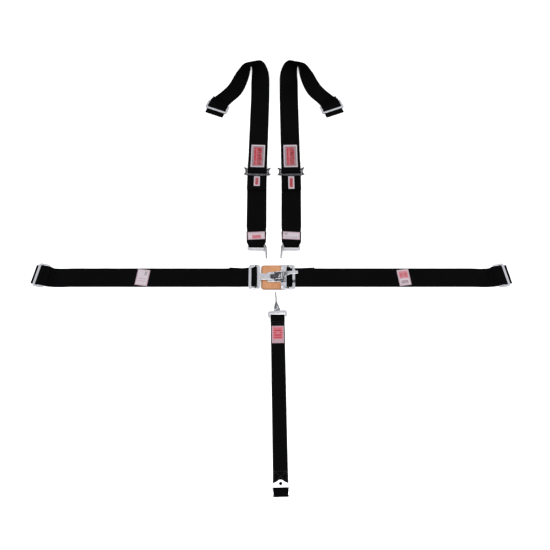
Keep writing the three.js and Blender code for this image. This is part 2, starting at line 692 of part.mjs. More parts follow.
/** Main label, sewn on where the upper webbing comes down from the adjuster's rim to the floor. */
function mainLabelPath() {
  const lift = CLOTH / 2 + LABEL_GAP + LABEL / 2;
  const over = overRim + LAYER;
  const slope = Math.atan2(over - layerZ(0), WEBBING_DOWN - webbingOver);
  const shift = lift * Math.tan(slope / 2);
  return rounded([
    [MAIN_LABEL.start, over + lift],
    [webbingOver + shift, over + lift],
    [WEBBING_DOWN + shift, layerZ(0) + lift],
    [MAIN_LABEL.start + MAIN_LABEL.length, layerZ(0) + lift],
  ]);
}

/** Lower webbing's loop round the adjuster's upper rim, from its sewn-down end. */
function rimLoop() {
  const inner = windowHalf - 0.6 - CLOTH / 2;
  const outer = windowHalf + ADJUSTER.upperRim + REST + 0.5 + CLOTH / 2;
  return rounded([
    [-RIM_TAIL, layerZ(1)],
    [inner, layerZ(1)],
    [inner, overRim],
    [outer, overRim],
    [outer, layerZ(0)],
    [-40, layerZ(0)],
  ]);
}

/** Loop round a link's bar: u runs outwards and the webbing turns at the origin. */
function linkLoop({ bar, slack, tail }) {
  const turn = -REST - 0.3;
  const over = LAYER + PLATE + REST + CLOTH / 2;
  return rounded([
    [-90, layerZ(0)],
    [turn, layerZ(0)],
    [turn, over],
    [-bar - slack - 4, over],
    [-bar - slack - 15, layerZ(1)],
    [-tail, layerZ(1)],
  ]);
}

/** Frame of a link: a bar inside the webbing's loop, which turns at the origin, a slot and a rim. */
function linkFrame({ width, rail, bar, slot, rim, slack }) {
  const inner = -2.1 - slack - bar;
  const outer = inner + bar + slot + rim;
  const outline = roundedRectangle((inner + outer) / 2, 0, outer - inner, width, 8);
  const slotMiddle = inner + bar + slot / 2;
  outline.holes.push(roundedRectangle(slotMiddle, 0, slot, width - 2 * rail, 1.5, new THREE.Path()));
  return { outer, body: plate(outline, LAYER, PLATE) };
}

/** Shoulder link: a flat frame with an upright arm along its inner end. side is +1 or -1. */
function shoulderLink(side) {
  const { outer, body } = linkFrame(SHOULDER_LINK);
  const { reach, length, root, tip, lean, spread } = SHOULDER_ARM;
  const start = outer - 20;
  const end = start + length;
  const outline = new THREE.Shape();
  outline.moveTo(start, 0);
  outline.lineTo(end - 4, 0);
  outline.quadraticCurveTo(end, 0, end, 4);
  outline.lineTo(end, tip - 3);
  outline.quadraticCurveTo(end, tip, end - 3, tip);
  outline.lineTo(outer + 6, root - 3);
  outline.quadraticCurveTo(outer, root, start + 4, root);
  outline.quadraticCurveTo(start, root, start, root - 4);
  outline.holes.push(roundedRectangle(end - TIP_SLOT.inset, tip / 2, ...TIP_SLOT.size, new THREE.Path()));
  let blade = wall(outline, -PLATE / 2, PLATE / 2).rotate([side * lean, 0, side * spread]);
  blade = blade.translate([0, side * reach, LAYER]);
  const [near, far] = [side * (SHOULDER_LINK.width / 2 - SHOULDER_LINK.rail + 1), side * reach];
  const bridge = box(start, outer - 5, Math.min(near, far), Math.max(near, far), LAYER, LAYER + PLATE);
  blade = blade.add(bridge);
  const floor = box(-100, 200, -100, 100, -20, 0.3);
  return body.add(blade).subtract(floor);
}

/**
 * Where the upper webbing turns back on itself: it tips up on one edge, swings round and lies down again.
 * Each row is [out, y, z] of the edge that lifts, then of the edge that stays down. Out is measured from the
 * strap's centre line, away from the other strap.
 */
const TURN = [
  [-38.1, 800, 0.9, 38.1, 800, 0.9],
  [-38.1, 850, 2, 38.1, 850, 0.9],
  [-38.1, 880, 8, 38.1, 880, 0.9],
  [-36.1, 907, 24, 36.6, 912, 1],
  [-29.5, 925, 41, 36, 932, 1],
  [-19.2, 941, 53, 35.5, 952, 1],
  [-8.5, 947, 61, 36, 961, 1],
  [3.8, 948, 65, 38, 966, 1.5],
  [29.7, 938, 72, 40, 966, 2],
  [56.2, 932, 70, 41.5, 958, 1.5],
  [70.7, 925, 67, 43, 948, 1],
  [87.6, 906, 58, 46, 928, 1],
  [102.2, 884, 52, 52, 900, 1],
  [116.6, 855, 50, 61, 867, 1],
  [132.5, 829, 47, 74, 836, 1],
  [153.2, 810, 40, 90, 812, 1],
  [178.8, 795, 28, 110, 791, 1],
  [191.7, 789, 15, 122, 780, 1],
];

/** Everything on one shoulder strap, from its middle line's x low down, at the adjuster and at its turn. */
function shoulderStrap({ name, side, bottomX, adjusterX, turnX, pullLabel }) {
  const heading = (x0, y0, x1, y1) => (Math.atan2(y1 - y0, x1 - x0) * 180) / Math.PI;
  const adjuster = new Place(adjusterX, ADJUSTER_Y, heading(adjusterX, ADJUSTER_Y, turnX, TURN[0][1]));
  const bottom = new Place(bottomX, SHOULDER_END_Y, heading(bottomX, SHOULDER_END_Y, adjusterX, ADJUSTER_Y));
  const edge = (at) =>
    TURN.map((row) => new THREE.Vector3(turnX - side * row[at], row[at + 1], row[at + 2]));
  const turn = between(edge(0), edge(3)).map(({ p, w }) => ({ p, w: w.multiplyScalar(side) }));
  const slideHeading = 90 - side * SHOULDER_SLIDE.tilt;
  const outerBar = new Place(turnX - side * SHOULDER_SLIDE.out, SHOULDER_SLIDE.y, slideHeading);
  const slide = outerBar.moved(outerBarMiddle);
  // The tail comes back towards the wearer, so its right-hand side is the other way round.
  const tail = follow(slide, slideWrap(SHOULDER_BIGHT), { side: -1 });
  const beyond = tail.map(({ p, w }) => ({ p, w: w.negate() }));
  const upper = [...follow(adjuster, adjusterWrap()), ...turn, ...beyond];
  add(`${name}_shoulder_upper_webbing`, strip(upper, WIDE, CLOTH), BLACK_WEBBING);
  const loop = follow(adjuster, rimLoop());
  const linkPath = linkLoop(SHOULDER_LINK);
  const slotWidth = SHOULDER_LINK.width - 2 * SHOULDER_LINK.rail - 3;
  const narrowed = follow(bottom, linkPath, { side: -1 }).map((s, i) => {
    const u = linkPath[i][0];
    const share = THREE.MathUtils.clamp((u + 26) / 20, 0, 1);
    return { ...s, width: THREE.MathUtils.lerp(WIDE, slotWidth, share) };
  });
  add(`${name}_shoulder_lower_webbing`, strip([...loop, ...narrowed], WIDE, CLOTH), BLACK_WEBBING);
  putDown(`${name}_shoulder_adjuster`, shoulderAdjuster(), DARK_STEEL, adjuster);
  putDown(`${name}_adjuster_bar`, adjusterBar(), DARK_STEEL, adjuster);
  putDown(`${name}_shoulder_end_slide`, threeBarSlide(), CHROME, slide);
  const outwards = new Place(bottom.origin.x, bottom.origin.y, bottom.heading + 180);
  putDown(`${name}_shoulder_link`, shoulderLink(side), CHROME, outwards);
  const mainLabel = strip(follow(adjuster, mainLabelPath()), MAIN_LABEL.width, LABEL);
  add(`${name}_shoulder_main_label`, mainLabel, RED_LABEL);
  const pullMiddle = -PULL_LABEL.start - pullLabel / 2;
  const onTail = onCloth + 2 * LAYER;
  label(`${name}_shoulder_pull_label`, adjuster, pullMiddle, pullLabel, PULL_LABEL.width, onTail, RED_LABEL);
  const low = bottom.moved(LOW_LABEL.middle);
  const lowPlace = new Place(low.origin.x, low.origin.y, low.heading + side * LOW_LABEL.turn);
  label(`${name}_shoulder_low_label`, lowPlace, 0, LOW_LABEL.length, LOW_LABEL.width, onCloth + LAYER);
}

shoulderStrap({ name: "left", side: 1, bottomX: -71, adjusterX: -70, turnX: -61, pullLabel: 43 });
shoulderStrap({ name: "right", side: -1, bottomX: 62, adjusterX: 63, turnX: 57, pullLabel: 56 });

// ---------------------------------------------------------------- crotch strap
const crotchTop = new Place(CROTCH_X, CROTCH_TOP_Y, 90 + CROTCH_LEAN);
const crotchLength = (CROTCH_TOP_Y - CROTCH_BOTTOM_Y) / Math.cos(degrees(CROTCH_LEAN));
const crotchBottom = crotchTop.moved(-crotchLength);

/** Crotch link: a flat frame whose tongue twists a quarter turn, so that it stands on edge. */
function crotchLink() {
  const { outer, body } = linkFrame(CROTCH_LINK);
  const { twist, reach, base, edge, tip } = CROTCH_TONGUE;
  const steps = 14;
  const stations = Array.from({ length: steps + 1 }, (_, i) => {
    const u = (i / steps) * reach;
    const share = THREE.MathUtils.smoothstep(u, 0, twist);
    const narrow = THREE.MathUtils.clamp((u - twist) / (reach - twist), 0, 1);
    const angle = (share * Math.PI) / 2;
    const width = THREE.MathUtils.lerp(THREE.MathUtils.lerp(base, edge, share), tip, narrow);
    const halfHeight = (Math.sin(angle) * width + Math.cos(angle) * PLATE) / 2;
    const z = Math.max(LAYER + PLATE / 2, halfHeight + REST);
    return {
      p: new THREE.Vector3(outer - 1.5 + u, 0, z),
      w: new THREE.Vector3(0, Math.cos(angle), Math.sin(angle)),
      width,
    };
  });
  const tongue = solid(strip(stations, 0, PLATE));
  const slot = roundedRectangle(outer - 1.5 + reach - TIP_SLOT.inset, REST + tip / 2, ...TIP_SLOT.size);
  return body.add(tongue.subtract(wall(slot, -5, 5)));
}

/** Anchor plate, lying folded back: its bar is inside the webbing's loop and +X points up the strap. */
function anchorPlate() {
  const { width, holeUp, apexUp, hole, bar, slot, slotWidth } = ANCHOR;
  const start = REST + CLOTH;
  const apexRadius = apexUp - holeUp;
  const lobe = start + bar + slot / 2 + 4;
  const outline = new THREE.Shape();
  outline.moveTo(start, -slotWidth / 2 + 6);
  outline.lineTo(start, slotWidth / 2 - 6);
  outline.lineTo(start + 9, width / 2 - 5);
  outline.quadraticCurveTo(lobe, width / 2 + 3, lobe + 12, width / 2 - 7);
  const slope = degrees(56);
  outline.lineTo(holeUp + apexRadius * Math.cos(slope), apexRadius * Math.sin(slope));
  outline.absarc(holeUp, 0, apexRadius, slope, -slope, true);
  outline.lineTo(lobe + 12, -width / 2 + 7);
  outline.quadraticCurveTo(lobe, -width / 2 - 3, start + 9, -width / 2 + 5);
  outline.holes.push(
    roundedRectangle(start + bar + slot / 2, 0, slot, slotWidth, 3, new THREE.Path()),
    new THREE.Path().absarc(holeUp, 0, hole, 0, 2 * Math.PI, false),
  );
  return plate(outline, BASE_Z, PLATE, 10);
}

/** Loop round the anchor plate's bar: out under it, back over it and down through the slot. */
function anchorLoop() {
  const turn = CLOTH / 2;
  const over = BASE_Z + PLATE + REST + CLOTH / 2;
  const down = CLOTH + REST + ANCHOR.bar + 1.2 + CLOTH / 2;
  return rounded([
    [-90, layerZ(0)],
    [-turn, layerZ(0)],
    [-turn, over],
    [-down, over],
    [-down, layerZ(1)],
    [-down - ANCHOR.tail, layerZ(1)],
  ]);
}

const topLoop = follow(crotchTop, linkLoop(CROTCH_LINK)).reverse();
const bottomLoop = follow(crotchBottom, anchorLoop(), { side: -1 });
add("crotch_webbing", strip([...topLoop, ...bottomLoop], NARROW, CLOTH), BLACK_WEBBING);
const linkHeading = crotchTop.heading + CROTCH_TONGUE.turn;
const linkPlace = new Place(crotchTop.origin.x, crotchTop.origin.y, linkHeading);
putDown("crotch_link", crotchLink(), CHROME, linkPlace);
putDown("anchor_plate", anchorPlate(), CHROME, crotchBottom);
const crotchLabel = crotchTop.moved(CROTCH_LABEL.middle);
label("crotch_label", crotchLabel, 0, CROTCH_LABEL.length, CROTCH_LABEL.width, onCloth, RED_LABEL);

// ---------------------------------------------------------------- origin
// The middle of the footprint, on the floor.
const bounds = new THREE.Box3().setFromObject(harness);
const middle = bounds.getCenter(new THREE.Vector3());
harness.position.set(-middle.x, -middle.y, -bounds.min.z);

export default harness;
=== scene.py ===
"""Five-point racing harness laid out on a pale floor.

It has black webbing with sewn labels, chrome hardware and a leather pad. Shapes are worked out in millimetres
from the buckle's centre and moved onto the frame when a mesh is made.
"""
import math

import bmesh
import bpy
import numpy as np
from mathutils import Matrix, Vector
from mathutils.geometry import tessellate_polygon


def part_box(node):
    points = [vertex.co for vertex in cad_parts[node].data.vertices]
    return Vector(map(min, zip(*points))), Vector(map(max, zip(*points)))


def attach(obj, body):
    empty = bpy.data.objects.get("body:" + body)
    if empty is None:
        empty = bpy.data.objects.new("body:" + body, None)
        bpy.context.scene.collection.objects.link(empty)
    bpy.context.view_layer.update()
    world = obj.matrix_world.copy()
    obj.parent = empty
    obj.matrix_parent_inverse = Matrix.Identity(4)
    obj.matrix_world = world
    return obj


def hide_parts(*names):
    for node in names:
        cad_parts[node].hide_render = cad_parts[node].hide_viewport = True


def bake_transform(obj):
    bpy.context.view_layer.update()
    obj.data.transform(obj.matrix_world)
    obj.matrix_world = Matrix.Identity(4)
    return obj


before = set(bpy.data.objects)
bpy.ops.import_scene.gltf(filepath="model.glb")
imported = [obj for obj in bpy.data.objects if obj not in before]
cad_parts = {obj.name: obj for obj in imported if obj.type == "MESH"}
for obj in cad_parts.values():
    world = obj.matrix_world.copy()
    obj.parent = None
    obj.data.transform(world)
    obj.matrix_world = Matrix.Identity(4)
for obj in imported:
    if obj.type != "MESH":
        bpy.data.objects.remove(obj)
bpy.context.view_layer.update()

# ---------------------------------------------------------------- sizes, in millimetres
WIDE = 76.2  # lap and shoulder webbing
NARROW = 50.8  # crotch webbing
CLOTH = 1.8  # webbing thickness
REST = 0.5  # gap between pieces that rest on each other
LAYER = CLOTH + REST
PLATE = 3.0  # thickness of the stamped plates
SEAM_RADIUS = 1.6  # tightest bend of the webbing's middle line
LABEL = 0.6  # label thickness
ON_CLOTH = CLOTH + 0.3  # a label's underside above that of the webbing it is sewn on
ON_SEAM = CLOTH + 0.1  # middle of the sewing thread above the webbing's underside
WIDE_LABEL = WIDE - 10.2
NARROW_LABEL = NARROW - 6.8
LABEL_HEM = 2.0  # a label's edge to its row of stitches
LAP_Y = -11.0  # middle line of the lap straps
LAP_END_Y = LAP_Y + 11.0
LEFT_LAP_END = -884.0
RIGHT_LAP_END = 857.0
LAP_END_TURN = 11.5  # degrees that the end slides are turned
LAP_SKEW = 3.5  # degrees between the two layers of a lap strap
LAP_SETTLES = 100.0  # a lap strap runs straight from this far inside its end slide
LAP_RISES = 180.0  # and until this far from its buckle frame
LAP_BIGHT = 9.0  # webbing that stands out beyond a slide
SHOULDER_BIGHT = 18.0
SHOULDER_END_Y = 113.0  # where the shoulder webbing turns round its link
ADJUSTER_Y = 444.0
TURN_Y = 800.0  # where the shoulder webbing starts to turn back
SHOULDER_SLIDE = dict(out=180.8, y=742.0, turn=21.5)
BASE_Z = 2 * LAYER  # underside of the latch base
LINK_Z = BASE_Z + PLATE + REST  # underside of the link plate
NOSE_LENGTH = 29.0  # latch base left of the buckle's centre
FRAME = dict(height=WIDE + 22.8, rim=10.0, window=22.0, rail=9.0, corner=10.0)
BAR_RADIUS = 3.2
BAR_TRAVEL = 2.5
BAR_NOTCH = 6.5
BAR_WRAP = BAR_RADIUS + 0.6 + CLOTH / 2
# A frame's window ends this far on the buckle's side of its bar, and its edge on the strap's side.
FRAME_INNER = BAR_WRAP + CLOTH / 2 + 2 * REST
FRAME_OUTER = FRAME["window"] + FRAME["rim"] - FRAME_INNER
LINK_BAR_X = -72.3
LATCH_BAR_X = 49.1
LAP_TAIL = 100.0
SLIDE = dict(bar=7.0, inner=8.5, outer=10.5, outer_bar=9.0, length=WIDE + 17.8, window=WIDE + 4.8, corner=7.0)
SLIDE_END = SLIDE["bar"] * 2 + SLIDE["inner"] + SLIDE["outer"] + SLIDE["outer_bar"]
ADJUSTER = dict(lower=6.0, upper=7.0, window=16.0, bow=6.0, inside=84.0, outside=93.0, horn=106.0)
ADJUSTER_Z = 3 * LAYER  # underside of the adjusters
ADJUSTER_BAR = dict(radius=3.0, travel=2.0, middle=41.0, reach=45.5)
DOWN_TO_FLOOR = 62.0  # upper webbing reaches the floor this far above the adjuster
RIM_TAIL = 70.0
PULL_TAIL = 80.0
MAIN_LABEL = dict(start=18.0, length=112.0, width=54.0)
PULL_LABEL = dict(start=20.0, width=23.0)
LOW_LABEL = dict(middle=50.0, length=32.0, turn=3.0)
SHOULDER_LINK = dict(width=66.0, rail=3.0, bar=7.0, slot=6.0, rim=9.0, slack=0.0, tail=68.0)
SHOULDER_ARM = dict(reach=38.5, length=54.0, root=20.0, tip=11.0, lean=18.0, spread=3.0)
CROTCH_LINK = dict(width=69.0, rail=6.0, bar=7.0, slot=9.0, rim=11.0, slack=2.0, tail=33.0)
CROTCH_TONGUE = dict(twist=43.0, reach=76.0, base=22.0, edge=18.0, tip=11.0, turn=4.0)
ANCHOR = dict(bar=14.0, slot=14.0, width=NARROW + 30.2, slot_width=NARROW + 9.2, tail=70.0)
ANCHOR_NOSE = dict(hole_up=43.0, apex_up=56.0, hole=5.75)
CROTCH_TOP = (9.2, -161.0)  # where the crotch webbing turns round its link
CROTCH_FALL = 650.0  # from there to the anchor plate
CROTCH_LEAN = 0.9  # degrees
CROTCH_LABEL = dict(middle=-76.0, length=66.0)
LOOP_TURN = REST + 0.3  # a link's webbing turns this far beyond its place, at its middle line
BAR_GAP = 0.4  # between a link's bar and the webbing's turn
TIP_SLOT = dict(inset=9.0, length=10.0, height=5.6, corner=2.6)
DOG_PIVOT = (4.0, 16.5)
LEVER_PIVOT = (25.0, 18.0)
PIN_RADIUS = 2.5
PIN_PLAY = 0.35
EAR = dict(inner=12.5, thickness=2.5, dog_lobe=6.5, lever_lobe=8.0)
PAD = dict(left=-51.0, right=40.0, height=FRAME["height"] + 1, thickness=BASE_Z - 0.6, corner=10.0)
RIVET = dict(x=26.0, y=FRAME["height"] / 2 - 11, radius=2.0, head=4.2, dome=0.5)
CREASE = 35  # degrees: edges sharper than this stay sharp
UP = np.array([0.0, 0.0, 1.0])

# Places ahead of the webbing's turn at its link and at the anchor plate.
SHOULDER_BEND = np.array([10.6, 0.6])
CROTCH_BEND = np.array([-12.6, -2.6])
ANCHOR_BEND = np.array([17.3, 1.3])

# Seams: middle, length and width of their rows of stitches.
LINK_SEAM = (63.5, 5, 64)
RIM_SEAM = (-44, 44, 66)
CROTCH_SEAM = (-31, 9, 43)
ANCHOR_SEAM = (66, 36, 43)

# The frame's origin seen from the buckle's centre, from where the latch base lies.
base_low = np.array(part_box("latch_base")[0]) * 1000
ORIGIN = base_low - np.array([-NOSE_LENGTH, LAP_Y - FRAME["height"] / 2, BASE_Z])


# ---------------------------------------------------------------- shader helpers
class Value:
    """A socket that can be added, multiplied and so on: each operator adds its Math node."""

    def __init__(self, nodes, socket):
        self.nodes = nodes
        self.socket = socket

    def _math(self, operation, *others, swap=False):
        operands = [self, *others]
        if swap:
            operands.reverse()
        return self.nodes.node("ShaderNodeMath", {"operation": operation}, dict(enumerate(operands)))

    def __add__(self, other):
        return self._math("ADD", other)

    def __sub__(self, other):
        return self._math("SUBTRACT", other)

    def __rsub__(self, other):
        return self._math("SUBTRACT", other, swap=True)

    def __mul__(self, other):
        return self._math("MULTIPLY", other)

    def __truediv__(self, other):
        return self._math("DIVIDE", other)

    def __gt__(self, other):
        return self._math("GREATER_THAN", other)

    def __lt__(self, other):
        return self._math("LESS_THAN", other)

    def __mod__(self, other):
        return self._math("FLOORED_MODULO", other)

    def __abs__(self):
        return self._math("ABSOLUTE")

    __radd__ = __add__
    __rmul__ = __mul__

    def wave(self, pitch):
        """0 to 1 cosine wave with this pitch."""
        return (self * (2 * math.pi / pitch))._math("COSINE") * 0.5 + 0.5

    def clamp(self):
        return self.nodes.node("ShaderNodeClamp", {}, {0: self})

    def at_most(self, other):
        return self._math("MINIMUM", other)

    def step(self, low, high):
        """0 below low, 1 above high and straight in between."""
        return ((self - low) / (high - low)).clamp()


class Nodes:
    """The nodes of a material or a world, built from expressions on Value."""

    def __init__(self, owner, shader, **constants):
        owner.use_nodes = True
        self.owner = owner
        self.tree = owner.node_tree
        self.shader = self.tree.nodes[shader]
        self.set(self.shader, {name.replace("_", " "): value for name, value in constants.items()})

    def node(self, kind, settings, inputs, output=0):
        """One node: its settings are set first, then its inputs get values or links."""
        made = self.tree.nodes.new(kind)
        for setting, value in settings.items():
            setattr(made, setting, value)
        self.set(made, inputs)
        return Value(self, made.outputs[output])

    def set(self, node, inputs):
        """Gives a node's inputs their values or links."""
        for key, value in inputs.items():
            if isinstance(value, Value):
                self.tree.links.new(value.socket, node.inputs[key])
            else:
                node.inputs[key].default_value = value

    def split(self, vector):
        """The three parts of a vector."""
        parts = self.node("ShaderNodeSeparateXYZ", {}, {0: vector}).socket.node
        return [Value(self, parts.outputs[axis]) for axis in range(3)]

    def direction(self):
        """Where a world's ray points to."""
        return self.node("ShaderNodeTexCoord", {}, {}, 0)

    def object_place(self):
        return self.node("ShaderNodeTexCoord", {}, {}, 3)

    def surface_place(self):
        """Metres along and across the piece's own surface."""
        return self.node("ShaderNodeUVMap", {"uv_map": "surface"}, {})

    def steepness(self):
        """How far the surface has turned from level: 0 on level faces and 1 on upright ones."""
        return self.node("ShaderNodeAttribute", {"attribute_name": "steepness"}, {}, 2)

    def noise(self, place, scale, detail=4.0, roughness=0.55):
        return self.node("ShaderNodeTexNoise", {}, {0: place, 2: scale, 3: detail, 4: roughness})

    def voronoi(self, place, scale, feature="F1"):
        return self.node("ShaderNodeTexVoronoi", {"feature": feature}, {0: place, 2: scale})

    def stretched(self, place, scale):
        return self.node("ShaderNodeVectorMath", {"operation": "MULTIPLY"}, {0: place, 1: scale})

    def mix(self, share, first, second):
        """A colour between two colours, by share."""
        return self.node("ShaderNodeMix", {"data_type": "RGBA"}, {0: share, 6: first, 7: second}, 2)

    def bump(self, height, strength, distance):
        inputs = {"Strength": strength, "Distance": distance, "Height": height}
        return self.node("ShaderNodeBump", {}, inputs)

    def finish(self, **sockets):
        self.set(self.shader, {name.replace("_", " "): value for name, value in sockets.items()})
        return self.owner


def new_material(name, **constants):
    return Nodes(bpy.data.materials.new(name), "Principled BSDF", **constants)


def grey(value):
    """A slightly cool grey."""
    return (value, value, value * 1.06, 1)


# ---------------------------------------------------------------- materials
def webbing_material(name, half):
    """Black polyester webbing: chevron twill in narrow panels, with tight cords along both selvedges.

    half is half of the webbing's width in metres.
    """
    m = new_material(name, Specular_IOR_Level=0.02)
    along, across, _ = m.split(m.surface_place())
    zigzag = abs((across / 0.0095) % 2.0 - 1.0) * 0.0095
    rib = (along + zigzag * 1.2).wave(0.0021)
    body = rib * 0.6 + across.wave(0.00115) * 0.25 + along.wave(0.0011) * 0.15
    selvedge = abs(across).step(half - 0.0038, half - 0.0031)
    height = body * (1.0 - selvedge) + along.wave(0.0016) * selvedge
    cloud = m.noise(m.object_place(), 9.0, 3.0)
    lint = m.noise(m.stretched(m.surface_place(), (1.0, 5.0, 1.0)), 420.0, 3.0)
    dust = (cloud * 0.6 + lint * 0.4).step(0.35, 0.8)
    shade = m.mix(height, (0.0002, 0.0002, 0.00024, 1), (0.0009, 0.0009, 0.0011, 1))
    return m.finish(
        Base_Color=m.mix(dust * 0.3, shade, (0.0025, 0.0025, 0.0031, 1)),
        Roughness=0.62 + 0.2 * lint - 0.1 * height,
        Normal=m.bump(height + lint * 0.35, 0.75, 0.00035),
    )


def thread_material(name, dark, light):
    """Twisted sewing thread, ribbed along its length."""
    m = new_material(name, Specular_IOR_Level=0.4, Sheen_Weight=0.2)
    along, round_, _ = m.split(m.surface_place())
    twist = (along + round_ * 0.4).wave(0.0005)
    colour = m.mix(twist, dark, light)
    return m.finish(Base_Color=colour, Roughness=0.45 + 0.2 * twist, Normal=m.bump(twist, 0.5, 0.0001))


def metal_material(name, dark, light, smooth, rough):
    """Plated steel: faint polishing lines, fingermarks, tiny pits, patches of wear between two shades, and
    painted dark reflection on steep faces.
    """
    m = new_material(name, Metallic=1.0)
    place = m.object_place()
    marks = m.noise(place, 55.0, 5.0, 0.6)
    blotch = m.noise(place, 170.0, 5.0, 0.65)
    lines = m.noise(m.stretched(place, (1.0, 9.0, 1.0)), 260.0, 2.0)
    pits = m.voronoi(place, 900.0).step(0.05, 0.14)
    colour = m.mix(blotch.step(0.35, 0.72) * 0.6 + marks.step(0.35, 0.75) * 0.4, dark, light)
    colour = m.mix(pits, m.mix(0.5, colour, (0.03, 0.03, 0.03, 1)), colour)
    # Painted dark reflection: steep faces and rounded edges are darkened nearly to black.
    shade = m.steepness().step(0.1, 0.62)
    colour = m.mix(shade * 0.94, colour, (0.012, 0.012, 0.014, 1))
    return m.finish(
        Base_Color=colour,
        Roughness=smooth + (rough - smooth) * marks.step(0.4, 0.8) + 0.05 * lines,
        Normal=m.bump(lines * 0.4 + blotch * 0.3 + marks * 0.6, 0.07, 0.0004),
    )


def leather_material(centre, half):
    """Tan leather: pebbled grain, soft mottling and edges burnished dark."""
    m = new_material("tan_leather", Specular_IOR_Level=0.4, Sheen_Weight=0.08)
    place = m.object_place()
    x, y, _ = m.split(place)
    cells = m.voronoi(place, 620.0, "DISTANCE_TO_EDGE").step(0.0, 0.22)
    mottle = m.noise(place, 48.0, 5.0, 0.6)
    fibre = m.noise(place, 900.0, 3.0)
    wobble = (m.noise(place, 130.0, 3.0) - 0.5) * 0.004
    inside_x = half[0] - abs(x - centre[0])
    inside_y = half[1] - abs(y - centre[1])
    inside = inside_x.at_most(inside_y) + wobble
    burnish = 1.0 - inside.step(0.0008, 0.0062)
    face = m.mix(mottle.step(0.3, 0.72), (0.27, 0.115, 0.045, 1), (0.42, 0.215, 0.1, 1))
    face = m.mix(cells * 0.35, m.mix(0.5, face, (0.3, 0.12, 0.045, 1)), face)
    colour = m.mix(burnish * 0.85, face, (0.11, 0.042, 0.018, 1))
    rough = 0.46 + 0.2 * mottle - 0.12 * burnish
    height = cells * 0.6 + fibre * 0.25 + mottle * 0.4
    return m.finish(Base_Color=colour, Roughness=rough, Normal=m.bump(height, 0.5, 0.0004))


def label_material(name, size, ground, border, patches):
    """Woven label: a border round a plain ground with rectangles of colour on it, some broken into stripes.

    size is the label's half length and half width in metres. Each patch is (from, to) along, (from, to)
    across, its colour, and the pitch and slant of its stripes or None. Places are shares of the half sizes.
    """
    margin = 0.004
    m = new_material(name, Sheen_Weight=0.15, Specular_IOR_Level=0.3)
    along, across, _ = m.split(m.surface_place())
    weave = along.wave(0.0007) * 0.5 + across.wave(0.0007) * 0.5
    mottle = m.noise(m.object_place(), 260.0, 4.0)
    fade = m.noise(m.object_place(), 60.0, 3.0)
    fray = (m.noise(m.surface_place(), 700.0, 2.0) - 0.5) * 0.0008
    colour = ground
    for (low, high), (left, right), paint, stripes in patches:
        inside = (along + fray > low * size[0]) * (along + fray < high * size[0])
        inside = inside * (across + fray > left * size[1]) * (across + fray < right * size[1])
        if stripes:
            pitch, slant = stripes
            inside = inside * (((along + fray * 2 + across * slant) / pitch) % 1.0 > 0.45)
        colour = m.mix(inside, colour, paint)
    from_edge = (size[0] - abs(along)).at_most(size[1] - abs(across))
    colour = m.mix(from_edge.step(margin - 0.0004, margin + 0.0002), border, colour)
    colour = m.mix(fade.step(0.4, 0.8) * 0.3, colour, ground)
    # Painted shade in the weave's hollows, and mottled wear.
    weave_shade_and_wear = (1.0 - weave) * 0.22 + mottle.step(0.5, 0.8) * 0.18
    colour = m.mix(weave_shade_and_wear, colour, (0.06, 0.035, 0.04, 1))
    return m.finish(
        Base_Color=colour,
        Roughness=0.62 + 0.15 * mottle,
        Normal=m.bump(weave + mottle * 0.3, 0.5, 0.00015),
    )


# ---------------------------------------------------------------- meshes
def make(name, shells, material, body, replaced=()):
    """One piece from closed shells of (points in mm, faces[, surface coordinates in metres]).

    A shell's faces are arrays of point numbers, each array holding faces with equally many corners.
    """
    points = np.vstack([shell[0] for shell in shells])
    starts = np.cumsum([0] + [len(shell[0]) for shell in shells])
    groups = [group + start for shell, start in zip(shells, starts) for group in shell[1]]
    corners = np.concatenate([group.ravel() for group in groups]).astype(np.int32)
    sizes = np.concatenate([np.full(len(group), group.shape[1]) for group in groups])
    mesh = bpy.data.meshes.new(name)
    mesh.vertices.add(len(points))
    mesh.vertices.foreach_set("co", ((points + ORIGIN) * 0.001).astype(np.float32).ravel())
    mesh.loops.add(len(corners))
    mesh.loops.foreach_set("vertex_index", corners)
    mesh.polygons.add(len(sizes))
    mesh.polygons.foreach_set("loop_start", (np.cumsum(sizes) - sizes).astype(np.int32))
    mesh.update(calc_edges=True)
    woven = len(shells[0]) == 3
    if woven:
        surface = np.vstack([shell[2] for shell in shells]).astype(np.float32)
        mesh.uv_layers.new(name="surface").data.foreach_set("uv", surface[corners].ravel())
    turned_outwards(mesh)
    measure_steepness(mesh)
    mesh.shade_smooth()
    mesh.set_sharp_from_angle(angle=math.radians(CREASE))
    mesh.materials.append(material)
    piece = bpy.data.objects.new(name, mesh)
    bpy.context.scene.collection.objects.link(piece)
    if not woven:
        piece.modifiers.new("normals", "WEIGHTED_NORMAL").keep_sharp = True
    if body:
        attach(piece, body)
    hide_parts(*replaced)
    return piece


def turned_outwards(mesh):
    """Turns every face of a closed mesh outwards."""
    work = bmesh.new()
    work.from_mesh(mesh)
    bmesh.ops.recalc_face_normals(work, faces=work.faces)
    work.to_mesh(mesh)
    work.free()


def measure_steepness(mesh):
    """Writes 1 - |z| of each point's normal as the attribute that the metals read to paint dark reflection on
    steep faces.
    """
    normals = np.empty(len(mesh.vertices) * 3, dtype=np.float32)
    mesh.vertex_normals.foreach_get("vector", normals)
    steepness = mesh.attributes.new("steepness", "FLOAT", "POINT")
    steepness.data.foreach_set("value", 1.0 - np.abs(normals[2::3]))


def carried(rows):
    """Faces of rows of points, each row a closed ring: the quads between rows, and a lid at each end."""
    count, sides = rows.shape[:2]
    index = np.arange(count * sides).reshape(count, sides)
    a, b = index[:-1], index[1:]
    quads = np.stack([a, np.roll(a, -1, 1), np.roll(b, -1, 1), b], axis=-1).reshape(-1, 4)
    return [quads, np.stack([index[0][::-1], index[-1]])]


def ring(points):
    """A closed outline without doubled points, turning anticlockwise."""
    points = np.asarray(points, float)
    points = points[np.linalg.norm(points - np.roll(points, 1, 0), axis=1) > 1e-5]
    x, y = points.T
    area = np.sum(x * np.roll(y, -1) - np.roll(x, -1) * y)
    return points if area > 0 else points[::-1]


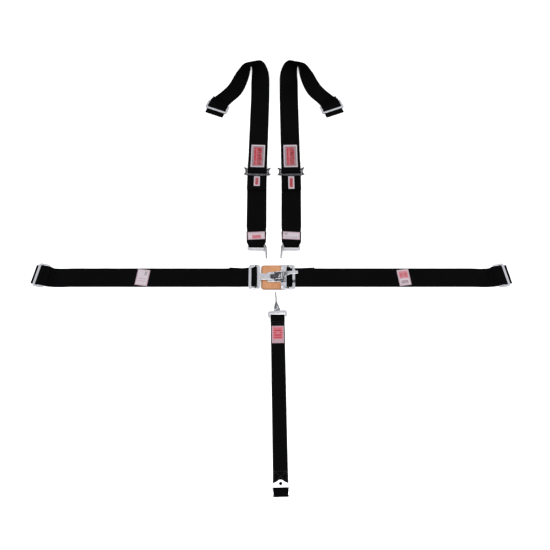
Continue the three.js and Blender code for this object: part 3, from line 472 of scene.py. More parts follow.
def inset(outline, distance):
    """An anticlockwise outline moved inwards, its corners mitred."""
    step = np.roll(outline, -1, 0) - outline
    step /= np.linalg.norm(step, axis=1)[:, None]
    after = np.column_stack([-step[:, 1], step[:, 0]])
    before = np.roll(after, 1, 0)
    middle = before + after
    middle /= np.linalg.norm(middle, axis=1)[:, None]
    return outline + middle * distance / np.maximum(np.sum(middle * before, 1), 0.5)[:, None]


def softened(outline, radius):
    """A closed outline with its corners rounded."""
    outline = ring(outline)
    middle = (outline[:1] + outline[-1:]) / 2
    return rounded(np.vstack([middle, outline, middle]), radius)[:-1]


def stamped(outlines, low, high, edge):
    """A flat plate of an outline and its holes, with rounded edges.

    Each outline is carried up through six levels: (low, in by edge), two round the lower edge, two round the
    upper edge and (high, in by edge), where in = edge * (1 - cos a) and up = edge * (1 - sin a) for a = 0, 45
    and 90 degrees.
    """
    eased = edge * (1 - math.sqrt(0.5))
    below = [(edge, low), (eased, low + eased), (0, low + edge)]
    above = [(0, high - edge), (eased, high - eased), (edge, high)]
    points, faces, lids, start = [], [], [], 0
    for number, outline in enumerate(map(ring, outlines)):
        inward = -1 if number else 1
        count = len(outline)
        levels = [(inset(outline, inward * i), np.full(count, z)) for i, z in below + above]
        rows = np.stack([np.column_stack(level) for level in levels])
        faces.append(carried(rows)[0] + start)
        lids.append((start + np.arange(count), start + 5 * count + np.arange(count)))
        points.append(rows.reshape(-1, 3))
        start += 6 * count
    points = np.vstack(points)
    for lid in (0, 1):
        index = np.concatenate([pair[lid] for pair in lids])
        loops = [[Vector(p) for p in points[pair[lid]]] for pair in lids]
        faces.append(index[np.array(tessellate_polygon(loops))])
    return points, faces


def moved(shell, matrix, shift):
    """A shell turned by a matrix and shifted."""
    return (shell[0] @ matrix.T + np.asarray(shift, float), *shell[1:])


def turn_x(angle):
    """Turn about X, in degrees."""
    c, s = math.cos(math.radians(angle)), math.sin(math.radians(angle))
    return np.array([[1, 0, 0], [0, c, -s], [0, s, c]])


def turn_z(angle):
    """Turn about Z, in degrees."""
    c, s = math.cos(math.radians(angle)), math.sin(math.radians(angle))
    return np.array([[c, -s, 0], [s, c, 0], [0, 0, 1]])


def arc(cx, cy, radius, start, end, steps=8):
    """Points on an arc, angles in degrees."""
    a = np.radians(np.linspace(start, end, steps + 1))
    return np.column_stack([cx + radius * np.cos(a), cy + radius * np.sin(a)])


def rounded_rectangle(cx, cy, width, height, radius, steps=8):
    w, h = width / 2 - radius, height / 2 - radius
    corners = ((w, h, 0), (-w, h, 90), (-w, -h, 180), (w, -h, 270))
    return np.vstack([arc(cx + x, cy + y, radius, a, a + 90, steps) for x, y, a in corners])


def bore(x, y, radius):
    """Outline of a round hole."""
    return arc(x, y, radius, 0, 345, 23)


def mirrored(half):
    """An outline from the half on one side of the first axis."""
    return np.vstack([half, (half * [1, -1])[::-1]])


def bent(start, corner, end, steps=8):
    """Points on a curve that leaves start towards corner and reaches end from it."""
    t = np.linspace(0, 1, steps + 1)[:, None]
    start, corner, end = map(np.asarray, (start, corner, end))
    return (1 - t) ** 2 * start + 2 * t * (1 - t) * corner + t ** 2 * end


def rod(middle, radius, low, high, direction="y", sides=40, dome=0.0, edge=0.3):
    """A round bar along Y or Z: a profile with rounded, domed ends turned round its middle line."""
    reach = [0.001, 0.33, 0.66, 0.9, 1.0]
    cap = [(high - edge * 0.3 + dome * (1 - r ** 2), (radius - edge * 0.3) * r) for r in reach[::-1]]
    profile = [(high - edge, radius)] + cap
    profile = [(low + high - place, r) for place, r in profile[::-1]] + profile
    place, reach = np.array(profile).T
    a = np.linspace(0, 2 * np.pi, sides, endpoint=False)
    first = middle[0] + reach[:, None] * np.cos(a)
    second = middle[1] + reach[:, None] * np.sin(a)
    along = np.repeat(place[:, None], sides, 1)
    rows = np.stack([first, along, second] if direction == "y" else [first, second, along], -1)
    return rows.reshape(-1, 3), carried(rows)


def wall(outlines, low, high, edge):
    """A plate whose outline lies in X and Z and whose thickness runs along Y from low to high."""
    points, faces = stamped(outlines, low, high, edge)
    return points[:, [0, 2, 1]], faces


# ---------------------------------------------------------------- places and paths
class Place:
    """A spot on the floor with a heading in degrees: along points ahead and across to the right."""

    def __init__(self, x, y, heading):
        self.origin = np.array([x, y, 0.0])
        self.heading = heading
        self.along = np.array([math.cos(math.radians(heading)), math.sin(math.radians(heading)), 0.0])
        self.across = np.array([self.along[1], -self.along[0], 0.0])

    def moved(self, u):
        x, y, _ = self.origin + u * self.along
        return Place(x, y, self.heading)

    def points(self, u, v, z):
        """Points u ahead, v to the right and z up."""
        u, v, z = np.broadcast_arrays(u, v, z)
        flat = self.origin + u[:, None] * self.along + v[:, None] * self.across
        flat[:, 2] = z
        return flat

    def put(self, shell):
        """A shell made round the origin, heading along +X, put down here."""
        return moved(shell, turn_z(self.heading), self.origin)


def layer(n):
    """Height of the middle of the nth layer of webbing above the floor, counted from 0."""
    return CLOTH / 2 + n * LAYER


def rounded(points, radius=SEAM_RADIUS, steps=8):
    """A line of (u, z) points whose corners are rounded."""
    line = np.asarray(points, float)
    out = [line[:1]]
    for before, corner, after in zip(line[:-2], line[1:-1], line[2:]):
        back, ahead = before - corner, after - corner
        reach_back, reach_ahead = np.linalg.norm(back), np.linalg.norm(ahead)
        back, ahead = back / reach_back, ahead / reach_ahead
        turn = math.pi - math.acos(np.clip(np.dot(back, ahead), -1, 1))
        if turn < 0.01:
            out.append(corner[None])
            continue
        cut = min(radius * math.tan(turn / 2), reach_back * 0.49, reach_ahead * 0.49)
        start, end = corner + back * cut, corner + ahead * cut
        out.append(bent(start, corner, end, max(2, round(steps * turn))))
    out.append(line[-1:])
    return np.vstack(out)


def follow(place, line, side=1, skew=0.0, skew_from=None):
    """Stations (points, across) of webbing that follows (u, z) points at a place.

    side is -1 where u runs backwards. skew turns the webbing from the station skew_from on, in degrees.
    """
    u, z = line.T
    across = np.repeat(place.across[None], len(u), 0)
    drift = np.zeros(len(u))
    if skew:
        start = line[skew_from][0]
        turned = np.arange(len(u)) >= skew_from % len(u)
        drift = np.where(turned, math.tan(math.radians(skew)) * np.abs(u - start), 0.0)
        across[turned] = turn_z(skew * side) @ place.across
    return place.points(side * u, drift, z), across


def sweep(start, end, steps=24):
    """Stations along a smooth curve on the floor from one place to another, ends left out."""
    reach = np.linalg.norm(end.origin - start.origin) / 3
    t = (np.arange(1, steps) / steps)[:, None]
    knots = [start.origin, start.origin + reach * start.along, end.origin - reach * end.along, end.origin]
    weights = [(1 - t) ** 3, 3 * t * (1 - t) ** 2, 3 * t ** 2 * (1 - t), t ** 3]
    points = sum(w * k for w, k in zip(weights, knots))
    points[:, 2] = layer(0)
    slopes = [(1 - t) ** 2, 2 * t * (1 - t), t ** 2]
    heading = sum(w * (b - a) for w, a, b in zip(slopes, knots, knots[1:]))
    heading /= np.linalg.norm(heading, axis=1)[:, None]
    return points, np.column_stack([heading[:, 1], -heading[:, 0], np.zeros(steps - 1)])


def through(points, steps):
    """A smooth curve through points: uniform Catmull-Rom, its ends carried straight on."""
    points = np.asarray(points, float)
    padded = np.vstack([2 * points[0] - points[1], points, 2 * points[-1] - points[-2]])
    t = np.arange((len(points) - 1) * steps + 1) / steps
    i = np.minimum(t.astype(int), len(points) - 2)
    f = (t - i)[:, None]
    p0, p1, p2, p3 = (padded[i + k] for k in range(4))
    linear = (p2 - p0) * f
    square = (2 * p0 - 5 * p1 + 4 * p2 - p3) * f ** 2
    cube = (3 * p1 - p0 - 3 * p2 + p3) * f ** 3
    return 0.5 * (2 * p1 + linear + square + cube)


def joined(*stretches):
    """Stations of several stretches in a row."""
    return np.vstack([s[0] for s in stretches]), np.vstack([s[1] for s in stretches])


def refined(points, across, extra, longest=3.0):
    """Adds stations so that none is further than longest from the next."""
    gaps = np.linalg.norm(np.diff(points, axis=0), axis=1)
    counts = np.maximum(1, np.ceil(gaps / longest)).astype(int)
    place = np.concatenate([i + np.arange(n) / n for i, n in enumerate(counts)] + [[len(points) - 1.0]])
    whole = np.arange(len(points))

    def pick(values):
        return np.column_stack([np.interp(place, whole, column) for column in values.T])

    across = pick(across)
    return pick(points), across / np.linalg.norm(across, axis=1)[:, None], np.interp(place, whole, extra)


def strap(points, across, width, thickness=CLOTH, columns=26, ripple=0.0, seed=1, start=0.0):
    """Webbing through stations: a flat section with half-round edges, carried along and turned with them.

    ripple lifts the surface by a few slow waves. Surface coordinates are metres along and across.
    Returns the shell and the length along its middle in mm.
    """
    widths = np.broadcast_to(np.asarray(width, float), (len(points),))
    points, across, widths = refined(points, across, widths)
    steps = np.diff(points, axis=0)
    steps /= np.maximum(np.linalg.norm(steps, axis=1), 1e-9)[:, None]
    ahead = np.vstack([steps[:1], steps[:-1] + steps[1:], steps[-1:]])
    ahead /= np.linalg.norm(ahead, axis=1)[:, None]
    bend = np.ones(len(points))
    bend[1:-1] = np.sqrt((1 + np.sum(steps[:-1] * steps[1:], axis=1)) / 2)
    up = np.cross(ahead, across)
    up /= np.linalg.norm(up, axis=1)[:, None]
    length = np.concatenate([[0], np.cumsum(np.linalg.norm(np.diff(points, axis=0), axis=1))])
    r = thickness / 2
    flat = np.linspace(-1, 1, columns)
    ends = np.radians(np.linspace(90, -90, 7))[1:-1]
    side = np.concatenate([flat, 1 + 0 * ends, flat[::-1], -1 + 0 * ends])
    out = np.concatenate([0 * flat, np.cos(ends), 0 * flat, -np.cos(ends)])
    lift = np.concatenate([1 + 0 * flat, np.sin(ends), -1 + 0 * flat, -np.sin(ends)])
    reach = side[None] * (widths[:, None] / 2 - r) + out[None] * r
    height = lift[None] * r / np.maximum(bend, 0.7)[:, None]
    if ripple:
        rng = np.random.default_rng(seed)
        phases = rng.uniform(0, 6.28, 4)
        pitches = rng.uniform(45, 160, 4)
        wave = sum(np.sin(length[:, None] / p * 6.28 + q + reach / 40) for p, q in zip(pitches, phases))
        fade = np.clip(length / 30, 0, 1) * np.clip((length[-1] - length) / 30, 0, 1)
        height = height + ripple * wave * fade[:, None] / 4
    rows = points[:, None] + across[:, None] * reach[..., None] + up[:, None] * height[..., None]
    along = np.repeat(length[:, None] + start, len(side), 1)
    surface = np.stack([along, reach], -1).reshape(-1, 2) * 0.001
    return (rows.reshape(-1, 3), carried(rows), surface), length[-1]


def stitches(lines, radius=0.32, pitch=3.4, length=2.6):
    """Rows of stitches along level lines (start, end), each stitch a short fat thread sunk in the cloth.

    A stitch is a profile (place, radius) = (length t / 2, radius sqrt(1 - t^4)) turned round its line.
    """
    shells = []
    t = np.array([-1.0, -0.92, -0.5, 0.5, 0.92, 1.0])
    swell = radius * np.maximum(1 - t ** 4, 0.02) ** 0.5
    a = np.linspace(0, 2 * np.pi, 6, endpoint=False)
    surface = np.stack(np.meshgrid(t * length / 2, a / 6.28 * 0.002, indexing="ij"), -1) * [0.001, 1]
    for start, end in lines:
        reach = np.linalg.norm(end - start)
        along = (end - start) / reach
        across = np.cross(UP, along)
        count = max(1, int(reach / pitch))
        middles = start + (end - start) * ((np.arange(count) + 0.5) / count)[:, None]
        line = middles[:, None] + along * (t * length / 2)[None, :, None]
        round_ = swell[:, None, None] * (np.cos(a)[:, None] * across + np.sin(a)[:, None] * UP)
        rows = line[:, :, None] + round_[None]
        quads, lids = carried(rows[0])
        first = np.arange(count)[:, None, None] * len(t) * len(a)
        faces = [(quads + first).reshape(-1, 4), (lids + first).reshape(-1, len(a))]
        places = np.broadcast_to(surface, (count, *surface.shape)).reshape(-1, 2)
        shells.append((rows.reshape(-1, 3), faces, places))
    return shells


def frame_of_stitches(place, u, length, width, z, cross=False):
    """Stitches along a rectangle on flat cloth at a place, with its diagonals if crossed."""
    ahead = u + np.array([-1, 1, 1, -1]) * length / 2
    a, b, c, d = place.points(ahead, np.array([-1, -1, 1, 1]) * width / 2, z)
    return stitches([(a, b), (b, c), (c, d), (d, a)] + ([(a, c), (b, d)] if cross else []))


def stitches_beside(place, line, half):
    """Stitches round a label that follows (u, z) points: half to each side of it and across its ends."""
    edges = [place.points(line[:, 0], v, line[:, 1]) for v in (-half, half)]
    keep = [np.linalg.norm(np.diff(edge, axis=0), axis=1) > 3 for edge in edges]
    lines = [pair for edge, k in zip(edges, keep) for pair in zip(edge[:-1][k], edge[1:][k])]
    return stitches(lines + [(edges[0][end], edges[1][end]) for end in (0, -1)])


# ---------------------------------------------------------------- finishes
WIDE_WEBBING = webbing_material("wide_webbing", WIDE / 2000)
NARROW_WEBBING = webbing_material("narrow_webbing", NARROW / 2000)
BLACK_THREAD = thread_material("black_thread", (0.006, 0.006, 0.007, 1), (0.03, 0.03, 0.033, 1))
PALE_THREAD = thread_material("pale_thread", (0.2, 0.15, 0.17, 1), (0.42, 0.36, 0.385, 1))
CHROME = metal_material("chrome", grey(0.46), grey(0.66), 0.05, 0.16)
# Chrome in darker tones: painted dark reflection on the link arms and the crotch tongue.
CHROME_PAINTED_DARK = metal_material("chrome_painted_dark", grey(0.10), grey(0.34), 0.22, 0.38)
DARK_STEEL = metal_material("dark_steel", grey(0.028), grey(0.16), 0.18, 0.42)
WHITE = (0.34, 0.30, 0.325, 1)
PALE = (0.27, 0.185, 0.21, 1)
PINK = (0.34, 0.09, 0.115, 1)
RED = (0.25, 0.002, 0.009, 1)
DEEP_RED = (0.08, 0.002, 0.006, 1)
INK = (0.05, 0.045, 0.05, 1)


def label(name, place, u, size, z, body, colours, patches, path=None):
    """A woven label sewn on cloth, with the row of stitches round it. Returns both pieces.

    size is its length and width and colours its ground and border. path is the (u, z) line that the label's
    middle layer follows; without one it lies flat, its underside at z.
    """
    length, width = size
    if path is None:
        path = np.array([(u - length / 2, z + LABEL / 2), (u + length / 2, z + LABEL / 2)])
    shell, _ = strap(*follow(place, path), width, LABEL, columns=18, start=-length / 2)
    material = label_material(name, (length / 2000, width / 2000), *colours, patches)
    cloth = make(name + "_cloth", [shell], material, body, [name])
    low, high = u - length / 2 + LABEL_HEM, u + length / 2 - LABEL_HEM
    seam = np.column_stack([path[:, 0].clip(low, high), path[:, 1]])
    seam[[0, -1], 1] = np.interp([low, high], path[:, 0], path[:, 1])
    seam[:, 1] += LABEL / 2
    thread = make(name + "_stitches", stitches_beside(place, seam, width / 2 - LABEL_HEM), PALE_THREAD, body)
    return [cloth, thread]


# ---------------------------------------------------------------- three-bar slides
def three_bar_slide():
    """Plate with two long slots, its inner edge at the origin and its outer bar towards -X."""
    middle = SLIDE["bar"] + SLIDE["inner"] / 2
    outer = 2 * SLIDE["bar"] + SLIDE["inner"] + SLIDE["outer"] / 2
    return stamped(
        [
            rounded_rectangle(-SLIDE_END / 2, 0, SLIDE_END, SLIDE["length"], SLIDE["corner"]),
            rounded_rectangle(-middle, 0, SLIDE["inner"], SLIDE["window"], 2),
            rounded_rectangle(-outer, 0, SLIDE["outer"], SLIDE["window"], 2),
        ],
        BASE_Z,
        BASE_Z + PLATE,
        0.8,
    )


def slide_wrap(bight):
    """Webbing through a three-bar slide: up, over the middle bar, out as a bight, back and over both bars."""
    first = BASE_Z + PLATE + REST + CLOTH / 2
    second = first + LAYER
    up = SLIDE["bar"] + SLIDE["inner"] / 2
    down = 2 * SLIDE["bar"] + SLIDE["inner"] + REST + CLOTH / 2 + 1
    again = SLIDE_END - SLIDE["outer_bar"] - REST - CLOTH / 2 - 1.5
    turn = SLIDE_END + bight
    low, high = layer(0), layer(1)
    return rounded([
        (-6, low), (up, low), (up, first), (down, first), (down, low), (turn, low),
        (turn, high), (again, high), (again, second), (-5, second), (-15, high), (-24, high),
    ])


# ---------------------------------------------------------------- lap straps
def frame_wrap(frame_z):
    """Webbing round the floating bar of a frame, ending in a free tail."""
    upper = frame_z - REST - CLOTH / 2
    lower = upper - LAYER
    top = frame_z + PLATE / 2 + BAR_WRAP
    turn = -BAR_WRAP - BAR_TRAVEL
    near, far = -FRAME_OUTER - 3, -FRAME_OUTER - 25
    return rounded([
        (-70, layer(0)), (far, layer(0)), (near, lower), (BAR_WRAP, lower), (BAR_WRAP, top),
        (turn, top), (turn, upper), (near, upper), (far, layer(1)), (-LAP_TAIL, layer(1)),
    ])


def frame_window(middle, flip=1):
    """Window of a buckle frame round its bar at middle, notched for the bar's ends."""
    w, h = FRAME["window"] / 2, FRAME["height"] / 2 - FRAME["rail"]
    shift = FRAME_INNER - w
    near, far, reach = -BAR_TRAVEL - BAR_RADIUS, BAR_RADIUS, h + BAR_NOTCH
    half = np.vstack([
        arc(shift + w - 4, h - 4, 4, 0, 90),
        [[far, h], [far, reach], [near, reach], [near, h]],
        arc(shift + 4 - w, h - 4, 4, 90, 180),
    ])
    return mirrored(half) * [flip, 1] + [middle, 0]


def floating_bar(z, radius, half, reach):
    """Bar that grips webbing: plain ends and a knurled middle, r = radius + 0.16 |sin 12 a| |sin 1.9 y|."""
    middle = rod((0, z), radius, -half, half, sides=96)
    y = np.linspace(-half + 1, half - 1, 160)
    a = np.linspace(0, 2 * np.pi, 96, endpoint=False)
    r = radius + 0.16 * np.abs(np.sin(12 * a))[None] * np.abs(np.sin(y * 1.9))[:, None]
    grip = np.stack([r * np.cos(a), np.repeat(y[:, None], 96, 1), z + r * np.sin(a)], -1)
    return [middle, (grip.reshape(-1, 3), carried(grip)), rod((0, z), radius - 0.5, -reach, reach)]


def lap_webbing(buckle, end, frame_z, skew):
    """Stations of a lap strap, from its end slide to its buckle frame."""
    settle = Place(end.origin[0] + buckle.along[0] * LAP_SETTLES, LAP_Y, buckle.heading)
    outer = follow(end, slide_wrap(LAP_BIGHT), side=-1)
    flat = np.array([[0.0, layer(0)]])
    return joined(
        (outer[0][::-1], outer[1][::-1]),
        sweep(end.moved(6), settle),
        follow(settle, flat),
        follow(buckle.moved(-LAP_RISES), flat),
        follow(buckle, frame_wrap(frame_z), skew=skew, skew_from=-2),
    )


def slide_at(x, y, heading):
    """Place of a slide's inner edge, from where the middle of its outer bar lies."""
    return Place(x, y, heading).moved(SLIDE_END - SLIDE["outer_bar"] / 2)


LAP_LABELS = {
    "left": (-492, -8, 46, [
        ((0.2, 0.62), (-0.78, -0.3), INK, (0.003, 0.4)),
        ((-0.7, 0.6), (0.1, 0.2), PALE, None),
        ((-0.7, 0.6), (0.4, 0.5), PALE, None),
    ]),
    "right": (479, 8, 44, [
        ((-0.75, 0.75), (-0.8, 0.1), PINK, None),
        ((-0.6, 0.6), (-0.6, -0.1), RED, (0.005, 0.5)),
        ((-0.6, 0.6), (0.35, 0.75), DEEP_RED, (0.004, 0.0)),
    ]),
}
BUCKLE = Place(0, LAP_Y, 0)
LINK_SIDE = Place(LINK_BAR_X, LAP_Y, 0)
LATCH_SIDE = Place(LATCH_BAR_X, LAP_Y, 180)
LEFT_END = slide_at(LEFT_LAP_END, LAP_END_Y, -LAP_END_TURN)
RIGHT_END = slide_at(RIGHT_LAP_END, LAP_END_Y, 180 + LAP_END_TURN)

for side, buckle, end, frame_z, skew, seed in (
    ("left", LINK_SIDE, LEFT_END, LINK_Z, -LAP_SKEW, 1),
    ("right", LATCH_SIDE, RIGHT_END, BASE_Z, LAP_SKEW, 2),
):
    body = side + "_lap"
    shell, length = strap(*lap_webbing(buckle, end, frame_z, skew), WIDE, ripple=0.3, seed=seed)
    cloth = make(f"{side}_lap_strap", [shell], WIDE_WEBBING, body, [f"{side}_lap_webbing"])
    label_x, turn, label_length, patches = LAP_LABELS[side]
    place, size = Place(label_x, LAP_Y, turn), (label_length, WIDE_LABEL)
    parts = label(f"{side}_lap_label", place, 0, size, ON_CLOTH, body, (WHITE, PALE), patches)
    length / 1000
    make(f"{side}_lap_slide", [end.put(three_bar_slide())], CHROME, body, [f"{side}_lap_end_slide"])
    bar = floating_bar(frame_z + PLATE / 2, BAR_RADIUS, WIDE / 2 + 1.4, WIDE / 2 + 8.4)
    shells = [buckle.put(shell) for shell in bar]
    make(f"{side}_lap_gripper", shells, DARK_STEEL, f"{side}_bar", [f"{side}_lap_bar"])


# ---------------------------------------------------------------- buckle
def link_plate():
    """Frame and tongue in one outline, with the tongue's window for the latch."""
    middle, half = LINK_BAR_X, FRAME["height"] / 2
    left, right, r = middle - FRAME_OUTER, middle + FRAME_INNER + FRAME["rim"], FRAME["corner"]
    top = np.vstack([
        bent((right + 8, 13), (right + 2, 13), (right, 18)),
        arc(right - r, half - r, r, 0, 90),
        arc(left + r, half - r, r, 90, 180),
    ])
    tip = np.vstack([arc(-8, -8, 4, -90, 0), arc(-8, 8, 4, 0, 90)])
    outline = np.vstack([(top * [1, -1])[::-1], [[-24, -12]], tip, [[-24, 12]], top])
    latch_window = rounded_rectangle(-14.5, 0, 13, 16, 2)
    return stamped([outline, frame_window(middle), latch_window], LINK_Z, LINK_Z + PLATE, 0.7)


def rivet_bores():
    """Outlines of the two rivets' holes."""
    return [bore(RIVET["x"], y, RIVET["radius"] + PIN_PLAY) for y in (RIVET["y"], -RIVET["y"])]


def latch_base():
    """Frame, shoulder and nose in one plate, and two ears that stand on it and carry the pins."""
    half, right = FRAME["height"] / 2, LATCH_BAR_X + FRAME_OUTER
    r = FRAME["corner"]
    top = np.vstack([
        arc(right - r, half - r, r, 0, 90),
        arc(25, half - 3, 3, 90, 180),
        bent((22, 24), (22, 20), (18, 20)),
        arc(6 - NOSE_LENGTH, 14, 6, 90, 180),
    ])
    holes = [frame_window(LATCH_BAR_X, -1), *rivet_bores()]
    plate = stamped([mirrored(top), *holes], BASE_Z, BASE_Z + PLATE, 0.7)
    (dx, dz), (lx, lz) = DOG_PIVOT, LEVER_PIVOT
    low, high, thickness, inner = EAR["dog_lobe"], EAR["lever_lobe"], EAR["thickness"], EAR["inner"]
    slope = 90 + math.degrees(math.atan2(high - low, lx - dx))
    ear = np.vstack([
        [[dx - low, BASE_Z + 1], [lx + high, BASE_Z + 1]],
        arc(lx, lz, high, 0, slope, 12),
        arc(dx, dz, low, slope, 180, 12),
    ])
    bores = [bore(x, z, PIN_RADIUS + PIN_PLAY) for x, z in (DOG_PIVOT, LEVER_PIVOT)]
    ears = [wall([ear, *bores], y, y + thickness, 0.5) for y in (-inner - thickness, inner)]
    return [plate, *ears]


def pivot_pin(pivot):
    """Pin through both ears, with a low domed head at each end."""
    face = EAR["inner"] + EAR["thickness"] + REST
    heads = [rod(pivot, 4.0, y, y + 1.5, dome=0.35) for y in (-face - 1.5, face)]
    return [rod(pivot, PIN_RADIUS, -face - 1, face + 1), *heads]


def latch_dog():
    """Hub on its pin, a nose in the tongue's window and a short tail for the lever's cam."""
    x, z = DOG_PIVOT
    nose = -14.5
    floor = LINK_Z + PLATE + 0.5
    front = bent((x - 6, z + 4.5), (nose - 1, z + 4), (nose - 3, z - 2))
    outline = np.vstack([
        [[x + 8.5, z + 1.5], [x + 2, z + 5]], front,
        [[nose - 2.5, floor], [nose + 2, floor], [nose + 4, z - 3], [x + 3, z - 4], [x + 8.5, z - 1.5]],
    ])
    return wall([outline, bore(x, z, PIN_RADIUS + PIN_PLAY)], -6, 6, 0.8)


def latch_lever():
    """Hub, cam and a bowed finger handle that narrows towards its tip."""
    x, z = LEVER_PIVOT
    reach = np.array([3, 16, 32, 48, 58, 66.0])
    angle = math.radians(35.5) + np.array([0.5, 0.3, 0.16, 0.02, -0.09, -0.15])
    knots = np.column_stack([x + reach * np.cos(angle), [21, 20, 16, 13, 13, 11], z + reach * np.sin(angle)])
    spine = through(knots, 10)
    line = np.column_stack([spine[:, 0], np.zeros(len(spine)), spine[:, 2]])
    handle, _ = strap(line, np.repeat([[0.0, 1.0, 0.0]], len(line), 0), spine[:, 1], 2.6, columns=14)
    cam = wall([rounded_rectangle(x - 4.8, z, 9.6, 4, 0.8)], -5, 5, 0.5)
    return [rod((x, z), 6.2, -10.5, 10.5, sides=64, edge=0.8), cam, handle[:2]]


def coil():
    """Spring wire round the dog's pin: a circle carried along (R cos w, 7.2 + 4.2 t, R sin w), w = 7 pi t."""
    t = np.linspace(0, 1, 160)
    turn = t * 7 * np.pi
    a = np.linspace(0, 2 * np.pi, 10, endpoint=False)
    reach = PIN_RADIUS + 1.3 + 0.5 * np.cos(a)[None]
    x = DOG_PIVOT[0] + reach * np.cos(turn)[:, None]
    z = DOG_PIVOT[1] + reach * np.sin(turn)[:, None]
    y = (7.2 + 4.2 * t)[:, None] + 0.5 * np.sin(a)[None]
    rows = np.stack([x, y, z], -1)
    return rows.reshape(-1, 3), carried(rows)


def pad_rivet(y):
    """Rivet through the pad and the latch base."""
    top = BASE_Z + PLATE + REST
    head = rod((RIVET["x"], y), RIVET["head"], top, top + 0.9, "z", dome=RIVET["dome"])
    return [head, rod((RIVET["x"], y), RIVET["radius"], 1, BASE_Z + PLATE + 1, "z")]


def buckle_piece(name, shells, material, body, node):
    """A piece whose shells are made round the buckle's centre."""
    return make(name, [BUCKLE.put(shell) for shell in shells], material, body, [node])


def leather_pad():
    """The pad under the latch, as one sheet of leather."""
    middle, width = (PAD["left"] + PAD["right"]) / 2, PAD["right"] - PAD["left"]
    centre = (ORIGIN + [middle, LAP_Y, 0]) / 1000
    leather = leather_material(centre.tolist(), (width / 2000, PAD["height"] / 2000))
    outline = rounded_rectangle(middle, 0, width, PAD["height"], PAD["corner"], 12)
    shell = stamped([outline, *rivet_bores()], 0.0, PAD["thickness"], 1.5)
    pad = buckle_piece("tan_leather_pad", [shell], leather, "right_lap", "leather_pad")
    flat = (width / 1000, PAD["height"] / 1000)


leather_pad()
buckle_piece("link_tongue", [link_plate()], CHROME, "left_lap", "link_plate")
buckle_piece("latch_plate", latch_base(), CHROME, "right_lap", "latch_base")
buckle_piece("dog_pin", pivot_pin(DOG_PIVOT), DARK_STEEL, "right_lap", "dog_pivot_pin")
buckle_piece("lever_pin", pivot_pin(LEVER_PIVOT), DARK_STEEL, "right_lap", "lever_pivot_pin")
buckle_piece("dog", [latch_dog()], DARK_STEEL, "dog", "latch_dog")
buckle_piece("lever_handle", latch_lever(), CHROME, "lever", "latch_lever")
buckle_piece("spring", [coil()], DARK_STEEL, "right_lap", "dog_spring")
buckle_piece("upper_rivet", pad_rivet(RIVET["y"]), CHROME, "right_lap", "upper_pad_rivet")
buckle_piece("lower_rivet", pad_rivet(-RIVET["y"]), CHROME, "right_lap", "lower_pad_rivet")


# ---------------------------------------------------------------- shoulder straps
def shoulder_adjuster():
    """Two rims joined by side rails, with curled horns at each end and a bowed lower rim."""
    half = ADJUSTER["window"] / 2
    bottom, top = -half - ADJUSTER["lower"], half + ADJUSTER["upper"]
    inside, outside, horn = ADJUSTER["inside"] / 2, ADJUSTER["outside"] / 2, ADJUSTER["horn"] / 2
    right = np.array([
        (bottom - 1, outside - 6), (bottom + 1, horn), (bottom + 5, horn), (bottom + 7, outside + 1),
        (top - 7, outside), (top - 3, outside + 3), (top + 3, horn), (top + 6.5, horn),
        (top + 3.5, outside - 1), (top, outside - 7),
    ])
    right = rounded(np.vstack([right[:1], right, right[-1:] - [0, 1]])[1:], 1.4)
    bow = bent(right[0] * [1, -1], (bottom - ADJUSTER["bow"], 0), right[0], 20)
    outline = np.vstack([bow, right[1:], (right * [1, -1])[::-1][:-1]])
    near, far, reach = -ADJUSTER_BAR["radius"], ADJUSTER_BAR["radius"] + ADJUSTER_BAR["travel"], inside + 4
    window = np.vstack([
        arc(half - 3, inside - 3, 3, 0, 90),
        [[far, inside], [far, reach], [near, reach], [near, inside]],
        arc(3 - half, inside - 3, 3, 90, 180),
    ])
    return stamped([outline, mirrored(window)], ADJUSTER_Z, ADJUSTER_Z + PLATE, 0.9)


def link_frame(link):
    """Bar, slot and rim of a link: its outer edge's place and the plate."""
    slot, width = link["slot"], link["width"]
    inner = -LOOP_TURN - CLOTH / 2 - BAR_GAP - link["slack"] - link["bar"]
    start = inner + link["bar"]
    outer = start + slot + link["rim"]
    outline = rounded_rectangle((inner + outer) / 2, 0, outer - inner, width, 8)
    hole = rounded_rectangle(start + slot / 2, 0, slot, width - 2 * link["rail"], 1.5)
    return outer, stamped([outline, hole], LAYER, LAYER + PLATE, 0.8)


def tip_slot(x, z):
    """Outline of the slot that a link hooks on by."""
    return rounded_rectangle(x, z, TIP_SLOT["length"], TIP_SLOT["height"], TIP_SLOT["corner"])


def shoulder_link(side):
    """Flat frame with an upright arm along its inner end."""
    outer, frame_plate = link_frame(SHOULDER_LINK)
    reach, length, root, tip, lean, spread = SHOULDER_ARM.values()
    start = outer - 20
    end = start + length
    outline = np.vstack([
        [[start, 0]],
        bent((end - 4, 0), (end, 0), (end, 4)),
        bent((end, tip - 3), (end, tip), (end - 3, tip)),
        bent((outer + 6, root - 3), (outer, root), (start + 4, root)),
        bent((start + 4, root), (start, root), (start, root - 4)),
    ])
    blade = wall([outline, tip_slot(end - TIP_SLOT["inset"], tip / 2)], -PLATE / 2, PLATE / 2, 0.7)
    blade = moved(blade, turn_z(side * spread) @ turn_x(side * lean), (0, side * reach, LAYER))
    near, far = SHOULDER_LINK["width"] / 2 - SHOULDER_LINK["rail"] + 1, reach
    edge = outer - 5
    middle = ((start + edge) / 2, side * (near + far) / 2)
    bridge = rounded_rectangle(*middle, edge - start, far - near, 0.8)
    return [frame_plate], [blade, stamped([bridge], LAYER, LAYER + PLATE, 0.4)]


def upper_crest():
    """Height of the upper webbing over the adjuster, and where it starts down to the floor."""
    over = ADJUSTER_Z + PLATE + REST + CLOTH / 2 + LAYER
    return over, ADJUSTER["window"] / 2 + ADJUSTER["upper"] + 8


